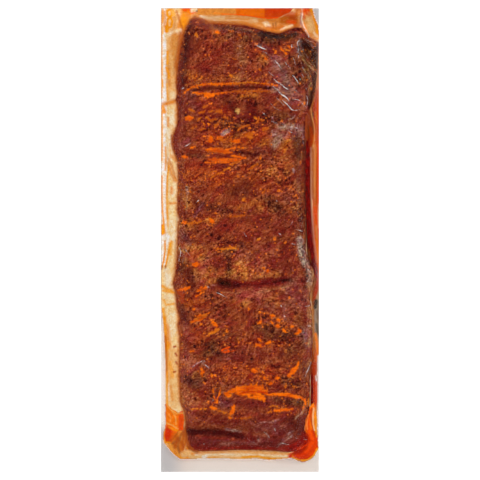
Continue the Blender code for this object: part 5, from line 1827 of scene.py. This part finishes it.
class SPARERIBS_OT_creases(bpy.types.Operator):
    """Make the sharp creases of the film that catch the light and the faint ones beside them, both painted partly
    white as highlights
    """

    bl_idname = "spareribs.creases"
    bl_label = "Film creases"

    def execute(self, context):
        settings = context.scene.spareribs_film
        # Painted highlights: the sharp creases are nearly full milk-white, the faint ones a little.
        for name, painted_glint, chosen in (
            ("film_creases", 0.95, [c for c in CREASES if c[0] > FAINT_CREASE]),
            ("faint_creases", 0.22, [c for c in CREASES if c[0] <= FAINT_CREASE]),
        ):
            made = [crease_curve(index, *crease) for index, crease in enumerate(chosen)]
            deselect_all()
            for item in made:
                context.scene.collection.objects.link(item)
                item.select_set(True)
            context.view_layer.objects.active = made[0]
            bpy.ops.object.convert(target="MESH")
            bpy.ops.object.join()
            creases = context.object
            creases.name = creases.data.name = name
            bpy.ops.object.mode_set(mode="EDIT")
            bpy.ops.mesh.select_all(action="SELECT")
            bpy.ops.mesh.remove_doubles(threshold=0.002 * MM)
            bpy.ops.mesh.normals_make_consistent(inside=False)
            bpy.ops.object.mode_set(mode="OBJECT")
            bpy.ops.object.shade_smooth()
            count = len(creases.data.vertices)
            paint(creases, "milky", np.full(count, painted_glint))
            paint(creases, "seam", np.zeros(count))
            finish_piece(creases, film_material(settings, name, 0.2))
        return {"FINISHED"}


class SPARERIBS_OT_stage(bpy.types.Operator):
    """Set the floor, the lights and the camera straight above the bag"""

    bl_idname = "spareribs.stage"
    bl_label = "Stage"

    def execute(self, context):
        s = context.scene.spareribs_stage
        deselect_all()
        bpy.ops.mesh.primitive_plane_add(size=9.0, location=(0, 0, -0.05 * MM))
        floor = context.object
        floor.name = floor.data.name = "floor"
        floor.data.materials.append(floor_material(s))
        for name, spot, size, power in (
            ("key_light", (0.72, 0.92, 1.6), 0.26, s.key_power),
            ("fill_light", (-2.0, -0.4, 2.0), 2.6, s.fill_power),
            ("low_light", (0.6, -2.2, 1.7), 2.2, s.low_power),
        ):
            light = bpy.data.lights.new(name, "AREA")
            light.shape = "SQUARE"
            light.size = size
            light.energy = power
            lamp = bpy.data.objects.new(name, light)
            context.scene.collection.objects.link(lamp)
            lamp.location = spot
            lamp.rotation_euler = (-Vector(spot)).to_track_quat("-Z", "Y").to_euler()
        world = bpy.data.worlds.new("studio")
        world.use_nodes = True
        backdrop = world.node_tree.nodes["Background"]
        backdrop.inputs["Color"].default_value = (1.0, 1.0, 1.0, 1.0)
        backdrop.inputs["Strength"].default_value = s.surroundings
        context.scene.world = world
        context.scene.view_settings.view_transform = "Standard"
        lens = bpy.data.cameras.new("camera")
        lens.sensor_width = 36.0
        seam_height = 3.0 * MM
        lens.lens = lens.sensor_width * (s.camera_height - seam_height) / (480 * PIXEL)
        lens.clip_end = 30.0
        camera = bpy.data.objects.new("camera", lens)
        camera.location = (0.0, 0.0, s.camera_height)
        context.scene.collection.objects.link(camera)
        context.scene.camera = camera
        return {"FINISHED"}


class SPARERIBS_PT_panel(bpy.types.Panel):
    """Lists the steps that build the sealed rack"""

    bl_idname = "SPARERIBS_PT_panel"
    bl_label = "Sealed spareribs"
    bl_space_type = "VIEW_3D"
    bl_region_type = "UI"
    bl_category = "Spareribs"

    def draw(self, context):
        for name, group in GROUPS:
            box = self.layout.box()
            for key in group.__annotations__:
                box.prop(getattr(context.scene, name), key)
        for step in STEPS:
            self.layout.operator(step.bl_idname)


GROUPS = (
    ("spareribs_rack", SPARERIBS_PG_rack),
    ("spareribs_fat", SPARERIBS_PG_fat),
    ("spareribs_film", SPARERIBS_PG_film),
    ("spareribs_stage", SPARERIBS_PG_stage),
)
STEPS = (
    SPARERIBS_OT_guides, SPARERIBS_OT_rack, SPARERIBS_OT_set_fat, SPARERIBS_OT_pools,
    SPARERIBS_OT_pepper, SPARERIBS_OT_bone_side, SPARERIBS_OT_film, SPARERIBS_OT_creases,
    SPARERIBS_OT_stage,
)


def register():
    for name, group in GROUPS:
        bpy.utils.register_class(group)
        setattr(bpy.types.Scene, name, PointerProperty(type=group))
    for step in STEPS:
        bpy.utils.register_class(step)
    bpy.utils.register_class(SPARERIBS_PT_panel)


def unregister():
    bpy.utils.unregister_class(SPARERIBS_PT_panel)
    for step in reversed(STEPS):
        bpy.utils.unregister_class(step)
    for name, group in reversed(GROUPS):
        delattr(bpy.types.Scene, name)
        bpy.utils.unregister_class(group)


def main():
    register()
    for step in STEPS:
        family, _, name = step.bl_idname.partition(".")
        getattr(getattr(bpy.ops, family), name)()
    for name in ("guide_top", "guide_under"):
        drop(bpy.data.objects[name])


if __name__ == "__main__":
    main()
